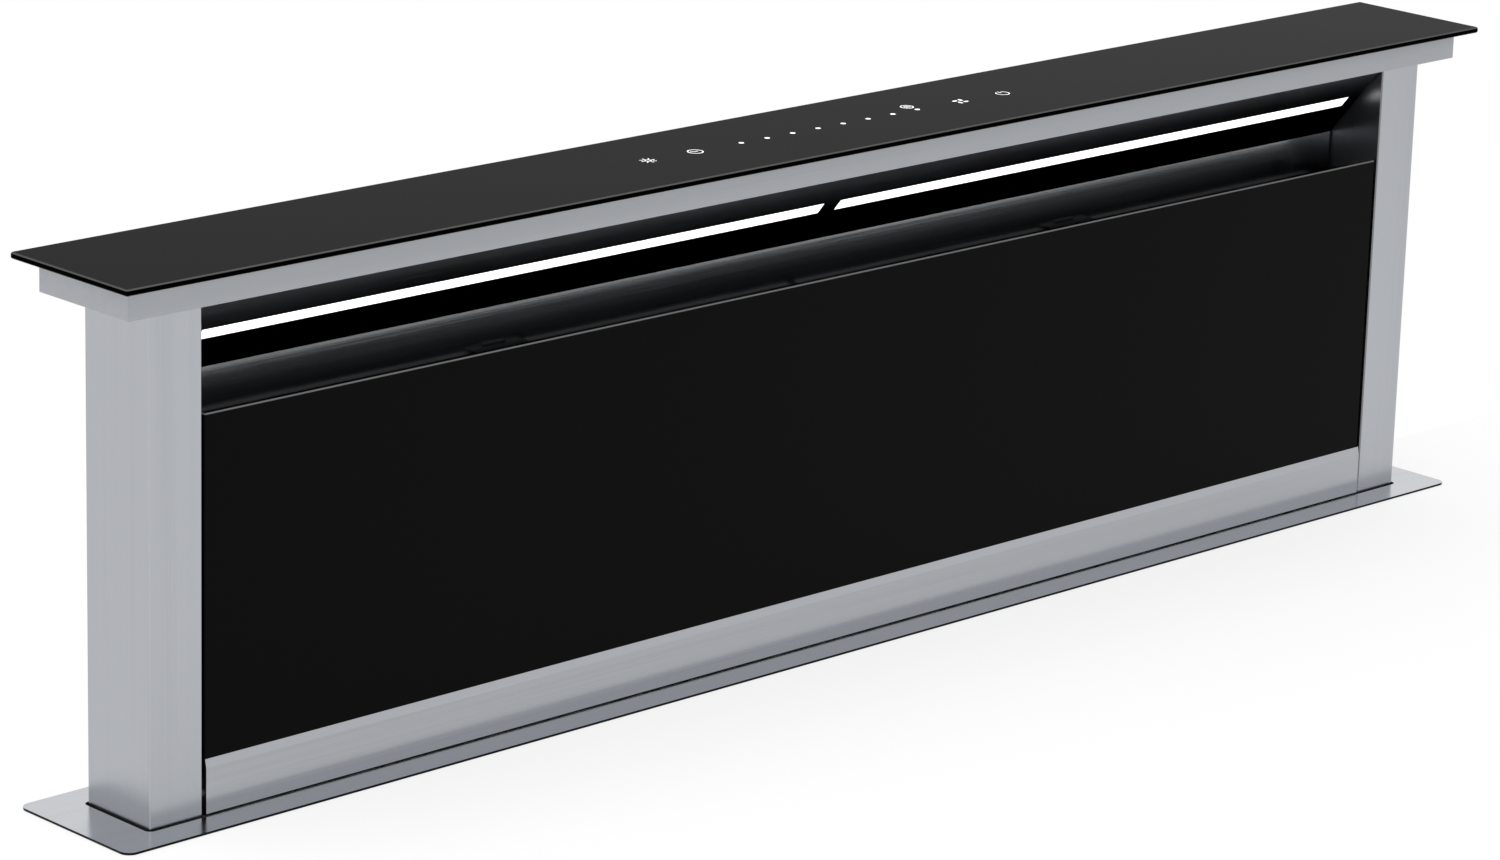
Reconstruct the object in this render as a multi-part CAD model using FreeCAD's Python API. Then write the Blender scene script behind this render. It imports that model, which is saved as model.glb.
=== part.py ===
import FreeCAD, Part
import math
import os

# A telescopic downdraft vent. The part stands raised out of the worktop: a glass-topped riser with
# a front air inlet, a light bar and grease filters behind a glass panel. Under the worktop a sheet
# metal chassis holds the lift, the blower, the duct outlet and the electrics.
# Millimetres. X runs along the vent, -Y is the front, Z is up and 0 is the worktop surface.

# ---- driving dimensions: what shows above the worktop ----
WIDTH = 1200.0            # length of the cap glass and of the deck trim
GLASS_DEPTH = 110.0
GLASS_T = 4.0
GLASS_EDGE = 0.8          # ground edge on the glass
RISE = 339.5              # top of the cap glass above the worktop
BAND_H = 19.0
BAND_SIDE_INSET = 11.0
BAND_DEPTH = 85.0
TRIM_DEPTH = 106.0
TRIM_T = 1.5
TRIM_CORNER_R = 7.0
TRIM_SEAT = 0.3           # the trim's underside steps up by this where it sits on the chassis
SLOT_GAP = 2.4            # gap between the riser and the slot in the deck trim
SLOT_CORNER_R = 4.5
BODY_W = 1132.0
BODY_D = 60.0
COLUMN_W = 39.0
EDGE_EASE = 0.8           # eased long edges of the columns
SHEET = 1.2               # riser sheet
BAND_Z = RISE - GLASS_T - BAND_H
COLUMN_X = BODY_W / 2 - COLUMN_W
FRONT = -BODY_D / 2
BACK = BODY_D / 2

# ---- front panel ----
PANEL_GAP = 2.35          # from the panel glass to each column
PANEL_TOP = 248.2
PANEL_GLASS_T = 5.0
PANEL_FACE_Y = FRONT + 0.5
RAIL_FACE_Y = FRONT - 1.0
RAIL_BOTTOM = 2.5
RAIL_TOP = 31.0
RAIL_LIP_TOP = 36.5
HINGE_Y = -27.0
HINGE_Z = 15.0
HINGE_PIN_R = 2.5
RUNNING = 0.06            # radial running clearance

# ---- air inlet and lights ----
HOOD_TOP_Z = 314.6        # where the sloping ceiling meets the front
HOOD_WALL_Y = 13.8
HOOD_WALL_TOP = 261.2
HOOD_WALL_BOTTOM = 229.0
LED_LENGTH = 505.0
LED_HALF_GAP = 7.5
LED_WIDTH = 9.6
LED_FROM_TOP = 28.4       # along the slope, from the front edge to the window

# ---- grease filters ----
FILTER_W = 510.0
FILTER_H = 226.0
FILTER_T = 10.0
FILTER_BORDER = 11.0
FILTER_Z = 6.0
FILTER_Y = 2.8
FILTER_X = 258.0          # centre of each filter
LATCH_W = 83.0
LATCH_H = 39.0
LATCH_CORNER_R = 5.0
POCKET_W = 41.0
POCKET_H = 19.0
POCKET_FLOOR_Y = 6.6
NOSE_HALF = 9.0
NOSE_Y0 = 3.6
NOSE_Y1 = 6.0
NOSE_ROOM = 0.3
LATCH_TRAVEL = 3.0
KEEPER_Z = 232.9
KEEPER_T = 1.2
KEEPER_HALF = 22.0

# ---- lift ----
LIFT_TRAVEL = 314.5
RISER_BOTTOM = -130.0
GEAR_MODULE = 3.0
GEAR_TEETH = 12
PINION_ADDENDUM = 0.95    # in modules, as the next two are
RACK_ADDENDUM = 0.7
DEDENDUM = 1.25
PRESSURE_ANGLE = math.radians(20)
BACKLASH = 0.25           # taken off each tooth, so that the gears run free
RACK_PITCH_Y = 36.5
SHAFT_Z = -172.0
SHAFT_R = 6.0
GEAR_WIDTH = 12.0
GEAR_X = 546.0
BEAM_FRONT = 8.0
BEAM_H = 20.0
PITCH_R = GEAR_MODULE * GEAR_TEETH / 2
SHAFT_Y = RACK_PITCH_Y - PITCH_R

# ---- chassis under the worktop ----
CHASSIS_W = 1164.0
CHASSIS_D = 90.0
CHASSIS_H = 700.0
WALL = 1.5
RETURN = 20.0
GUIDE_W = 26.0
GUIDE_DEPTH = 10.5
GUIDE_MOUTH = 14.0
BEAD_HALF = 6.0           # stiffening beads in the long walls
BEAD_PROUD = 3.0
SCREW_HOLE_R = 2.75
SCREW_HOLE_Y = -28.0
SCREW_HOLE_Z = (-150, -350)
FOOT_X = 500.0
FOOT_R = 18.0

# ---- blower and duct ----
BLOWER_X = 190.0
BLOWER_Z = -430.0
BLOWER_D = 150.0
VOLUTE_MIN = 115.0
VOLUTE_MAX = 185.0
TONGUE_ANGLE = -55.0
INLET_R = 75.0            # the hole in the chassis wall
IMPELLER_R = 96.0
BLADE_INNER_R = 80.0
BLADES = 16
WHEEL_FLATS = 48
MOTOR_R = 60.0
MOTOR_LENGTH = 44.0
MOTOR_FACE_Y = -CHASSIS_D / 2 - BLOWER_D - WALL - MOTOR_LENGTH
MOTOR_SHAFT_R = 4.0
OUTLET_BOTTOM = -620.0
COLLAR_TOP = -655.0
COLLAR_BOTTOM = -705.0
COLLAR_R = 74.5
COLLAR_WALL = 1.2
FLAP_Z = -668.0
FLAP_PIN_R = 2.0
FLAP_T = 1.2
KNUCKLE_R = 3.6
KNUCKLE_LENGTH = 58.0

# ---- electrics ----
BOX_X0 = -430.0
BOX_X1 = -250.0
BOX_Z0 = -330.0
BOX_Z1 = -140.0
BOX_Y = -105.0
LID_LAP = 2.0             # the lid stands past the box on each side
LID_T = 7.0
GLAND_X = -400.0
GLAND_Y = -75.0
GLAND_BORE_R = 4.0


def box(x0, x1, y0, y1, z0, z1):
    return Part.makeBox(x1 - x0, y1 - y0, z1 - z0, FreeCAD.Vector(x0, y0, z0))


def cylinder(radius, start, end):
    start = FreeCAD.Vector(*start)
    along = FreeCAD.Vector(*end) - start
    return Part.makeCylinder(radius, along.Length, start, along)


def polygon_face(points):
    return Part.Face(Part.makePolygon(points + [points[0]]))


def along_x(section, x0, x1):
    """A closed section of (y, z) points, extruded from x0 to x1."""
    face = polygon_face([FreeCAD.Vector(x0, y, z) for y, z in section])
    return face.extrude(FreeCAD.Vector(x1 - x0, 0, 0))


def along_z(section, z0, z1):
    """A closed section of (x, y) points, extruded from z0 to z1."""
    face = polygon_face([FreeCAD.Vector(x, y, z0) for x, y in section])
    return face.extrude(FreeCAD.Vector(0, 0, z1 - z0))


def folded(points, thickness):
    """The closed section of a folded sheet. The points are one face; the sheet lies on its left."""
    normals = []
    for (u0, v0), (u1, v1) in zip(points, points[1:]):
        length = math.hypot(u1 - u0, v1 - v0)
        normals.append((-(v1 - v0) / length, (u1 - u0) / length))
    inner = []
    for i, (u, v) in enumerate(points):
        before = normals[max(i - 1, 0)]
        after = normals[min(i, len(normals) - 1)]
        mitre = thickness / (1 + before[0] * after[0] + before[1] * after[1])
        inner.append((u + (before[0] + after[0]) * mitre, v + (before[1] + after[1]) * mitre))
    return points + inner[::-1]


def rounded_slab(width, depth, radius, z0, z1):
    slab = box(-width / 2, width / 2, -depth / 2, depth / 2, z0, z1)
    upright = [e for e in slab.Edges if e.BoundBox.ZLength > (z1 - z0) * 0.9]
    return slab.makeFillet(radius, upright)


def mirrored(shape):
    """The same piece on the other side of the vent's centre plane."""
    return shape.mirror(FreeCAD.Vector(0, 0, 0), FreeCAD.Vector(1, 0, 0))


def hexagon(u, v, corner):
    """The six (u, v) corners of a hexagon round a point."""
    turns = [math.radians(60 * i) for i in range(6)]
    return [(u + corner * math.cos(a), v + corner * math.sin(a)) for a in turns]


def hex_head(x, y, z, side, across=7.0, height=2.8):
    """A hexagon head that stands on a wall at y and points along -y or +y, by the side's sign."""
    corners = hexagon(x, z, across / math.sqrt(3))
    face = polygon_face([FreeCAD.Vector(u, y, v) for u, v in corners])
    return face.extrude(FreeCAD.Vector(0, side * height, 0))


# ---- cap, columns and trim ----

def cap_glass():
    half = WIDTH / 2
    slab = box(-half, half, -GLASS_DEPTH / 2, GLASS_DEPTH / 2, RISE - GLASS_T, RISE)
    corners = [e for e in slab.Edges if e.BoundBox.ZLength > GLASS_T * 0.9]
    slab = slab.makeChamfer(GLASS_EDGE, corners)
    rims = [e for e in slab.Edges if e.BoundBox.ZLength < 1e-6]
    return slab.makeChamfer(GLASS_EDGE, rims)


def cap_band():
    half = WIDTH / 2 - BAND_SIDE_INSET
    depth = BAND_DEPTH / 2
    top = BAND_Z + BAND_H
    tray = box(-half, half, -depth, depth, BAND_Z, top)
    inside = box(-half + SHEET, half - SHEET, -depth + SHEET, depth - SHEET, BAND_Z + SHEET, top)
    cable_hole = cylinder(9.0, (0, BACK - 14, BAND_Z - 1), (0, BACK - 14, BAND_Z + 3))
    return tray.cut(inside).cut(cable_hole)


def column():
    """The right column: a closed tube."""
    outer = box(COLUMN_X, BODY_W / 2, FRONT, BACK, RISER_BOTTOM, BAND_Z)
    tall = [e for e in outer.Edges if e.BoundBox.ZLength > 100]
    outer = outer.makeChamfer(EDGE_EASE, tall)
    inner = box(COLUMN_X + SHEET, BODY_W / 2 - SHEET, FRONT + SHEET, BACK - SHEET, RISER_BOTTOM, BAND_Z)
    return outer.cut(inner)


def deck_trim():
    """The plate that lies on the worktop, round the slot. Its underside is stepped over the chassis."""
    plate = rounded_slab(WIDTH, TRIM_DEPTH, TRIM_CORNER_R, 0, TRIM_T)
    slot = rounded_slab(BODY_W + 2 * SLOT_GAP, BODY_D + 2 * SLOT_GAP, SLOT_CORNER_R, -1, TRIM_T + 1)
    x = CHASSIS_W / 2 + 1
    y = CHASSIS_D / 2 + 1
    return plate.cut(slot).cut(box(-x, x, -y, y, -1, TRIM_SEAT))


def lower_front():
    """Closes the riser's front below the panel, down inside the chassis."""
    x = COLUMN_X - 0.2
    flange = 12.0
    section = folded([(-x, FRONT + flange), (-x, FRONT), (x, FRONT), (x, FRONT + flange)], SHEET)
    return along_z(section, RISER_BOTTOM, 1.0)


def back_cover():
    x = COLUMN_X - 0.2
    flange = 12.0
    section = folded([(x, BACK - flange), (x, BACK), (-x, BACK), (-x, BACK - flange)], SHEET)
    return along_z(section, RISER_BOTTOM, BAND_Z)


# ---- air inlet and lights ----

def slope_frame():
    """The ceiling's front edge, its direction down the slope and its inward normal, as (y, z)."""
    dy = HOOD_WALL_Y - FRONT
    dz = HOOD_WALL_TOP - HOOD_TOP_Z
    length = math.hypot(dy, dz)
    return (FRONT, HOOD_TOP_Z), (dy / length, dz / length), (-dz / length, dy / length)


def on_slope(along, inward):
    start, down, normal = slope_frame()
    return (start[0] + down[0] * along + normal[0] * inward,
            start[1] + down[1] * along + normal[1] * inward)


def slope_bar(along0, along1, inward0, inward1, x0, x1):
    corners = [(along0, inward0), (along1, inward0), (along1, inward1), (along0, inward1)]
    return along_x([on_slope(a, n) for a, n in corners], x0, x1)


def inlet_hood():
    """The sloping ceiling with its two light windows, and the wall that closes the duct's top."""
    down = slope_frame()[1]
    back_y = BACK - SHEET
    wall_in = HOOD_WALL_Y + SHEET
    slope_in = on_slope(0, SHEET)
    meet_z = slope_in[1] + (wall_in - slope_in[0]) * down[1] / down[0]
    flange_z = BAND_Z - SHEET
    flange_y = slope_in[0] + (flange_z - slope_in[1]) * down[0] / down[1]
    section = [(FRONT, BAND_Z), (FRONT, HOOD_TOP_Z), (HOOD_WALL_Y, HOOD_WALL_TOP),
               (HOOD_WALL_Y, HOOD_WALL_BOTTOM), (back_y, HOOD_WALL_BOTTOM),
               (back_y, HOOD_WALL_BOTTOM + SHEET), (wall_in, HOOD_WALL_BOTTOM + SHEET),
               (wall_in, meet_z), (flange_y, flange_z), (FRONT + 12, flange_z), (FRONT + 12, BAND_Z)]
    hood = along_x(section, -COLUMN_X + 1.6, COLUMN_X - 1.6)
    for x0 in (LED_HALF_GAP, -LED_HALF_GAP - LED_LENGTH):
        window = slope_bar(LED_FROM_TOP, LED_FROM_TOP + LED_WIDTH, -1, SHEET + 1, x0, x0 + LED_LENGTH)
        hood = hood.cut(window)
    for x in (-FILTER_X, FILTER_X):
        slit = box(x - KEEPER_HALF - 0.4, x + KEEPER_HALF + 0.4, HOOD_WALL_Y - 1, wall_in + 0.5,
                   KEEPER_Z - 0.3, KEEPER_Z + KEEPER_T + 0.3)
        hood = hood.cut(slit)
    return hood


def nose_room(z0, z1):
    """The space that a latch's nose slides through."""
    half = NOSE_HALF + NOSE_ROOM
    return box(-half, half, NOSE_Y0 - NOSE_ROOM, NOSE_Y1 + NOSE_ROOM, z0, z1)


def filter_keeper():
    """The catch plate over one filter's latch. It passes through the duct's wall and turns up behind it."""
    top = KEEPER_Z + KEEPER_T
    tab_y = HOOD_WALL_Y + SHEET
    plate = box(-KEEPER_HALF, KEEPER_HALF, FILTER_Y - 1, tab_y + KEEPER_T, KEEPER_Z, top)
    tab = box(-KEEPER_HALF, KEEPER_HALF, tab_y, tab_y + KEEPER_T, top, top + 12)
    return plate.fuse(tab).cut(nose_room(KEEPER_Z - 1, top + 1)).removeSplitter()


def led_parts(x0):
    """The diffuser, its aluminium channel and the light board of one window."""
    x1 = x0 + LED_LENGTH
    top = LED_FROM_TOP
    bottom = LED_FROM_TOP + LED_WIDTH
    lens = slope_bar(top, bottom, 0, SHEET, x0, x1)
    flange = slope_bar(top - 2, bottom + 2, SHEET, SHEET + 1.3, x0, x1)
    outer = slope_bar(top - 3.5, bottom + 3.5, SHEET, SHEET + 9, x0, x1)
    lens_seat = slope_bar(top - 2, bottom + 2, SHEET, SHEET + 1.3, x0, x1)
    hollow = slope_bar(top - 0.5, bottom + 0.5, SHEET + 1.3, SHEET + 7.5, x0, x1)
    board = slope_bar(top, bottom, SHEET + 6.3, SHEET + 7.5, x0 + 3, x1 - 3)
    return lens.fuse(flange).removeSplitter(), outer.cut(lens_seat).cut(hollow), board


# ---- front panel ----

def panel_glass():
    half = COLUMN_X - PANEL_GAP
    slab = box(-half, half, PANEL_FACE_Y, PANEL_FACE_Y + PANEL_GLASS_T, 25.0, PANEL_TOP)
    ground = [e for e in slab.Edges if e.BoundBox.ZMin > PANEL_TOP - 1e-6]
    ground += [e for e in slab.Edges if e.BoundBox.ZLength > 100 and e.BoundBox.YMax < HINGE_Y]
    return slab.makeChamfer(GLASS_EDGE, ground)


def panel_rail():
    """The steel rail under the glass: a folded front with a lip that leans back onto the glass."""
    half = COLUMN_X - 2.0
    inner_y = RAIL_FACE_Y + SHEET
    end_y = -24.6
    section = [(RAIL_FACE_Y, RAIL_BOTTOM), (RAIL_FACE_Y, RAIL_TOP), (PANEL_FACE_Y - 0.4, RAIL_LIP_TOP),
               (PANEL_FACE_Y - 0.05, RAIL_LIP_TOP), (inner_y, RAIL_TOP),
               (inner_y, RAIL_BOTTOM + SHEET), (end_y, RAIL_BOTTOM + SHEET), (end_y, RAIL_BOTTOM)]
    return along_x(section, -half, half)


def panel_carrier():
    """The steel sheet behind the glass, notched at its lower corners for the hinge blocks."""
    y = PANEL_FACE_Y + PANEL_GLASS_T
    sheet = box(-520, 520, y, y + SHEET, 4.0, 243.0)
    foot = box(-506, 506, y, y + 9, 4.0, 4.0 + SHEET)
    for x0 in (-521, 507):
        sheet = sheet.cut(box(x0, x0 + 14, y - 1, y + 3, 3, 24.9))
    return sheet.fuse(foot).removeSplitter()


def hinge_block():
    """The right hinge block: it carries the panel's lower corner on the pin."""
    block = box(508, COLUMN_X - 4, RAIL_FACE_Y + SHEET, -21, 5, 24)
    upper_back = [e for e in block.Edges if e.BoundBox.YMin > -21.01 and e.BoundBox.XLength > 5]
    block = block.makeChamfer(2.5, upper_back)
    bore = cylinder(HINGE_PIN_R + RUNNING, (500, HINGE_Y, HINGE_Z), (530, HINGE_Y, HINGE_Z))
    return block.cut(bore)


def hinge_pin():
    """The right pin, welded to the column's inner wall."""
    return cylinder(HINGE_PIN_R, (512, HINGE_Y, HINGE_Z), (COLUMN_X, HINGE_Y, HINGE_Z))


def magnet_catch():
    return box(512, COLUMN_X, PANEL_FACE_Y + PANEL_GLASS_T + SHEET + 0.5, -8, 222, 236)


# ---- grease filters ----

def filter_frame():
    """One filter's frame, centred on x = 0, with its window."""
    half = FILTER_W / 2
    top = FILTER_Z + FILTER_H
    frame = box(-half, half, FILTER_Y, FILTER_Y + FILTER_T, FILTER_Z, top)
    frame = frame.makeChamfer(1.0, [e for e in frame.Edges if e.BoundBox.YLength > FILTER_T - 1])
    b = FILTER_BORDER
    window = box(-half + b, half - b, FILTER_Y - 1, FILTER_Y + FILTER_T + 1, FILTER_Z + b, top - b)
    return frame.cut(window).cut(nose_room(top - b - 1, top + 1))


def filter_mesh():
    """The stack of mesh that fills one frame's window, cut back for the latch plate."""
    half = FILTER_W / 2 - FILTER_BORDER
    z0 = FILTER_Z + FILTER_BORDER
    z1 = FILTER_Z + FILTER_H - FILTER_BORDER
    return box(-half, half, FILTER_Y + 1.5, FILTER_Y + FILTER_T - 1.5, z0, z1).cut(latch_block())


def latch_block():
    """The outside of a latch plate: it hangs from the frame's top border and fills a place in the mesh."""
    top = FILTER_Z + FILTER_H - FILTER_BORDER
    block = box(-LATCH_W / 2, LATCH_W / 2, FILTER_Y - 0.5, POCKET_FLOOR_Y + 1, top - LATCH_H, top)
    low = [e for e in block.Edges if e.BoundBox.YLength > 2 and e.BoundBox.ZMax < top - 1]
    return block.makeFillet(LATCH_CORNER_R, low)


def latch_plate():
    """The dark plate under a filter's top border, with its pocket for the latch."""
    top = FILTER_Z + FILTER_H - FILTER_BORDER
    pocket = box(-POCKET_W / 2, POCKET_W / 2, FILTER_Y - 2, POCKET_FLOOR_Y, top - POCKET_H, top + 1)
    return latch_block().cut(pocket)


def latch_slider():
    """The sprung latch: a finger ledge, and a nose that rises through the border into the keeper."""
    top = FILTER_Z + FILTER_H - FILTER_BORDER
    half = POCKET_W / 2 - 0.3
    front_y = NOSE_Y0 - 0.3
    body = box(-half, half, front_y, POCKET_FLOOR_Y - 0.3, top - 15.5, top - 1)
    nose_top = FILTER_Z + FILTER_H + LATCH_TRAVEL + 0.4
    nose = box(-NOSE_HALF, NOSE_HALF, NOSE_Y0, NOSE_Y1, top - 1, nose_top)
    ledge = box(-16, 16, front_y - 2, front_y, top - 15.5, top - 13.5)
    return body.fuse([nose, ledge]).removeSplitter()


def filter_channel():
    """The channel that both filters stand in."""
    section = folded([(14.4, 16), (14.4, 4.8), (1.2, 4.8), (1.2, 12)][::-1], 1.0)
    return along_x(section, -COLUMN_X + 1.6, COLUMN_X - 1.6)


def filter_rail():
    """The right side rail: closes the gap between a filter and its column."""
    x0 = FILTER_X + FILTER_W / 2 + 0.6
    x1 = COLUMN_X - 0.3
    section = folded([(x0, FILTER_Y + 10), (x0, FILTER_Y), (x1, FILTER_Y), (x1, FILTER_Y + 10)], 1.0)
    return along_z(section, 16.2, HOOD_WALL_BOTTOM + 3)


def drip_tray():
    """Catches grease below the filters, and closes the duct in front of them."""
    section = folded([(-28.5, 0.8), (-28.5, -9), (-5, -9), (0.8, 4.4)], 1.0)
    return along_x(section, -COLUMN_X + 1.8, COLUMN_X - 1.8)


# ---- lift ----

def involute(angle):
    return math.tan(angle) - angle


def pinion_section():
    """A gear outline of (y, z) offsets, with a tooth pointing along +y."""
    base = PITCH_R * math.cos(PRESSURE_ANGLE)
    tip = PITCH_R + GEAR_MODULE * PINION_ADDENDUM
    root = PITCH_R - GEAR_MODULE * DEDENDUM
    half = (math.pi * GEAR_MODULE / 2 - BACKLASH) / (2 * PITCH_R) + involute(PRESSURE_ANGLE)
    flank = [(root, half)]
    for step in range(3):
        radius = base + (tip - base) * step / 2
        flank.append((radius, half - involute(math.acos(base / radius))))
    outline = []
    for tooth in range(GEAR_TEETH):
        centre = 2 * math.pi * tooth / GEAR_TEETH
        outline += [(r * math.cos(centre - a), r * math.sin(centre - a)) for r, a in flank]
        outline += [(r * math.cos(centre + a), r * math.sin(centre + a)) for r, a in flank[::-1]]
    return outline


def pinion():
    """The right pinion, on the cross shaft."""
    section = [(SHAFT_Y + y, SHAFT_Z + z) for y, z in pinion_section()]
    gear = along_x(section, GEAR_X - GEAR_WIDTH / 2, GEAR_X + GEAR_WIDTH / 2)
    bore = cylinder(SHAFT_R, (GEAR_X - 20, SHAFT_Y, SHAFT_Z), (GEAR_X + 20, SHAFT_Y, SHAFT_Z))
    return gear.cut(bore)


def rack():
    """The right rack, fixed to the chassis back wall: it reaches as far as the riser travels."""
    pitch = math.pi * GEAR_MODULE
    half = (pitch / 2 - BACKLASH) / 2
    root = GEAR_MODULE * DEDENDUM
    tip = GEAR_MODULE * RACK_ADDENDUM
    slope = math.tan(PRESSURE_ANGLE)
    above = 2
    below = math.ceil(LIFT_TRAVEL / pitch) + 2
    teeth = []
    for k in range(-below, above):
        centre = SHAFT_Z + (k + 0.5) * pitch
        teeth += [(RACK_PITCH_Y + root, centre - half - root * slope),
                  (RACK_PITCH_Y - tip, centre - half + tip * slope),
                  (RACK_PITCH_Y - tip, centre + half - tip * slope),
                  (RACK_PITCH_Y + root, centre + half + root * slope)]
    back = CHASSIS_D / 2 - WALL
    section = [(back, teeth[0][1] - 4), (RACK_PITCH_Y + root, teeth[0][1] - 4)] + teeth
    section += [(RACK_PITCH_Y + root, teeth[-1][1] + 4), (back, teeth[-1][1] + 4)]
    return along_x(section, GEAR_X - GEAR_WIDTH / 2, GEAR_X + GEAR_WIDTH / 2)


def cross_shaft():
    return cylinder(SHAFT_R, (-GEAR_X - 10, SHAFT_Y, SHAFT_Z), (GEAR_X + 10, SHAFT_Y, SHAFT_Z))


def base_beam():
    """Joins the columns' feet and carries the lift drive."""
    z0 = RISER_BOTTOM - BEAM_H
    section = folded([(BACK, z0), (BACK, RISER_BOTTOM), (BEAM_FRONT, RISER_BOTTOM), (BEAM_FRONT, z0)], WALL)
    return along_x(section, -BODY_W / 2, BODY_W / 2)


def shaft_bearing():
    """The right bearing block under the base beam."""
    block = box(511, 525, BEAM_FRONT + WALL, BACK - WALL, SHAFT_Z - 12, RISER_BOTTOM - WALL)
    low = [e for e in block.Edges if e.BoundBox.ZMax < SHAFT_Z - 11 and e.BoundBox.XLength > 5]
    block = block.makeChamfer(4.0, low)
    return block.cut(cylinder(SHAFT_R + RUNNING, (500, SHAFT_Y, SHAFT_Z), (540, SHAFT_Y, SHAFT_Z)))


def lift_gearbox():
    case = box(-28, 28, -29, 38, SHAFT_Z - 26, RISER_BOTTOM - BEAM_H)
    case = case.makeChamfer(5.0, [e for e in case.Edges if e.BoundBox.ZLength > 20])
    bore = cylinder(SHAFT_R + RUNNING, (-40, SHAFT_Y, SHAFT_Z), (40, SHAFT_Y, SHAFT_Z))
    return case.cut(bore)


def lift_motor():
    z = RISER_BOTTOM - BEAM_H
    return cylinder(15.0, (0, -12, z), (0, -12, z + 82))


def guide_rail():
    """The right guide rail: a C channel on the chassis side wall."""
    wall_x = CHASSIS_W / 2 - WALL
    mouth_x = wall_x - GUIDE_DEPTH
    half = GUIDE_W / 2
    lip = GUIDE_MOUTH / 2
    section = folded([(mouth_x, -lip), (mouth_x, -half), (wall_x, -half),
                      (wall_x, half), (mouth_x, half), (mouth_x, lip)], SHEET)
    return along_z(section, -690, -8)


def guide_shoes():
    """The two right shoes on the column's foot, which run in the guide rail."""
    wall_x = CHASSIS_W / 2 - WALL
    head_x0 = wall_x - GUIDE_DEPTH + SHEET + 0.4
    head_half = GUIDE_W / 2 - SHEET - 0.4
    neck_half = GUIDE_MOUTH / 2 - 0.4
    shoes = []
    for z0 in (-122, -56):
        head = box(head_x0, wall_x - SHEET - 0.4, -head_half, head_half, z0, z0 + 40)
        neck = box(BODY_W / 2, head_x0, -neck_half, neck_half, z0, z0 + 40)
        shoes.append(head.fuse(neck).removeSplitter())
    return shoes


# ---- chassis ----

def chassis_panel(y0, y1, bead_side, lower_bead_end):
    """A front or back wall, stiffened by two pressed beads."""
    half = CHASSIS_W / 2
    wall = box(-half, half, y0, y1, -CHASSIS_H, TRIM_SEAT)
    face_y = y0 if bead_side < 0 else y1
    proud = face_y + bead_side * BEAD_PROUD
    crown = BEAD_HALF - BEAD_PROUD
    for z, end in ((-90, half - 60), (-640, lower_bead_end)):
        section = [(face_y, z - BEAD_HALF), (proud, z - crown), (proud, z + crown), (face_y, z + BEAD_HALF)]
        wall = wall.fuse(along_x(section, -half + 60, end))
    return wall.removeSplitter()


def chassis_front():
    wall = chassis_panel(-CHASSIS_D / 2, -CHASSIS_D / 2 + WALL, -1, outlet_span()[0] - 20)
    return wall.cut(cylinder(INLET_R, (BLOWER_X, -60, BLOWER_Z), (BLOWER_X, -30, BLOWER_Z)))


def chassis_back():
    return chassis_panel(CHASSIS_D / 2 - WALL, CHASSIS_D / 2, 1, CHASSIS_W / 2 - 60)


def chassis_side():
    """The right side wall, with a return onto each long wall and two holes for cabinet screws."""
    x = CHASSIS_W / 2
    y = CHASSIS_D / 2 - WALL
    section = folded([(x - RETURN, -y), (x, -y), (x, y), (x - RETURN, y)], WALL)
    wall = along_z(section, -CHASSIS_H + WALL, TRIM_SEAT)
    for z in SCREW_HOLE_Z:
        wall = wall.cut(cylinder(SCREW_HOLE_R, (x - 5, SCREW_HOLE_Y, z), (x + 5, SCREW_HOLE_Y, z)))
    return wall


def chassis_bottom():
    """The floor pan, with upturned lips along the front and back."""
    y = CHASSIS_D / 2 - WALL
    z = -CHASSIS_H
    section = folded([(y, z + 15), (y, z), (-y, z), (-y, z + 15)][::-1], WALL)
    return along_x(section, -CHASSIS_W / 2 + RETURN + 3, CHASSIS_W / 2 - RETURN - 3)


def levelling_feet():
    """Two legs that stand on the cabinet floor: a hexagon bar with a wide hexagon pad."""
    feet = []
    for x in (-FOOT_X, FOOT_X):
        leg = along_z(hexagon(x, 0, 7.5), -CHASSIS_H - 24, -CHASSIS_H)
        pad = along_z(hexagon(x, 0, FOOT_R), -CHASSIS_H - 30, -CHASSIS_H - 24)
        feet.append(pad.fuse(leg))
    return feet


def worktop_clamp():
    """The right clamp pair: angle brackets that pull the trim down onto the worktop."""
    x = CHASSIS_W / 2
    clamps = []
    for y0 in (-34, 14):
        section = folded([(x + 17, -40), (x, -40), (x, -70)], 2.0)
        face = polygon_face([FreeCAD.Vector(u, y0, v) for u, v in section])
        clamps.append(face.extrude(FreeCAD.Vector(0, 20, 0)))
    return clamps


# ---- blower and duct ----

def volute_arcs(offset, y):
    """The spiral as four tangent arcs, ended at the tongue. Each arc's centre steps round a square."""
    step = (VOLUTE_MAX - VOLUTE_MIN) / 4
    centres = [(1, -1), (1, 1), (-1, 1), (-1, -1)]
    arcs = []
    for quarter, (cx, cz) in enumerate(centres):
        radius = VOLUTE_MAX - (quarter + 0.5) * step + offset
        centre_x = BLOWER_X + cx * step / 2
        centre_z = BLOWER_Z + cz * step / 2
        sweep = 90 if quarter < 3 else 90 + TONGUE_ANGLE
        points = []
        for share in (0, 0.5, 1):
            angle = math.radians(90 * quarter + sweep * share)
            points.append(FreeCAD.Vector(centre_x + radius * math.cos(angle), y,
                                         centre_z + radius * math.sin(angle)))
        arcs.append(points)
    return arcs


def outlet_span():
    """The outlet's x range, inside the casing: from the tongue to the widest point of the spiral."""
    arcs = volute_arcs(0, 0)
    return arcs[-1][-1].x, arcs[0][0].x


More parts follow.
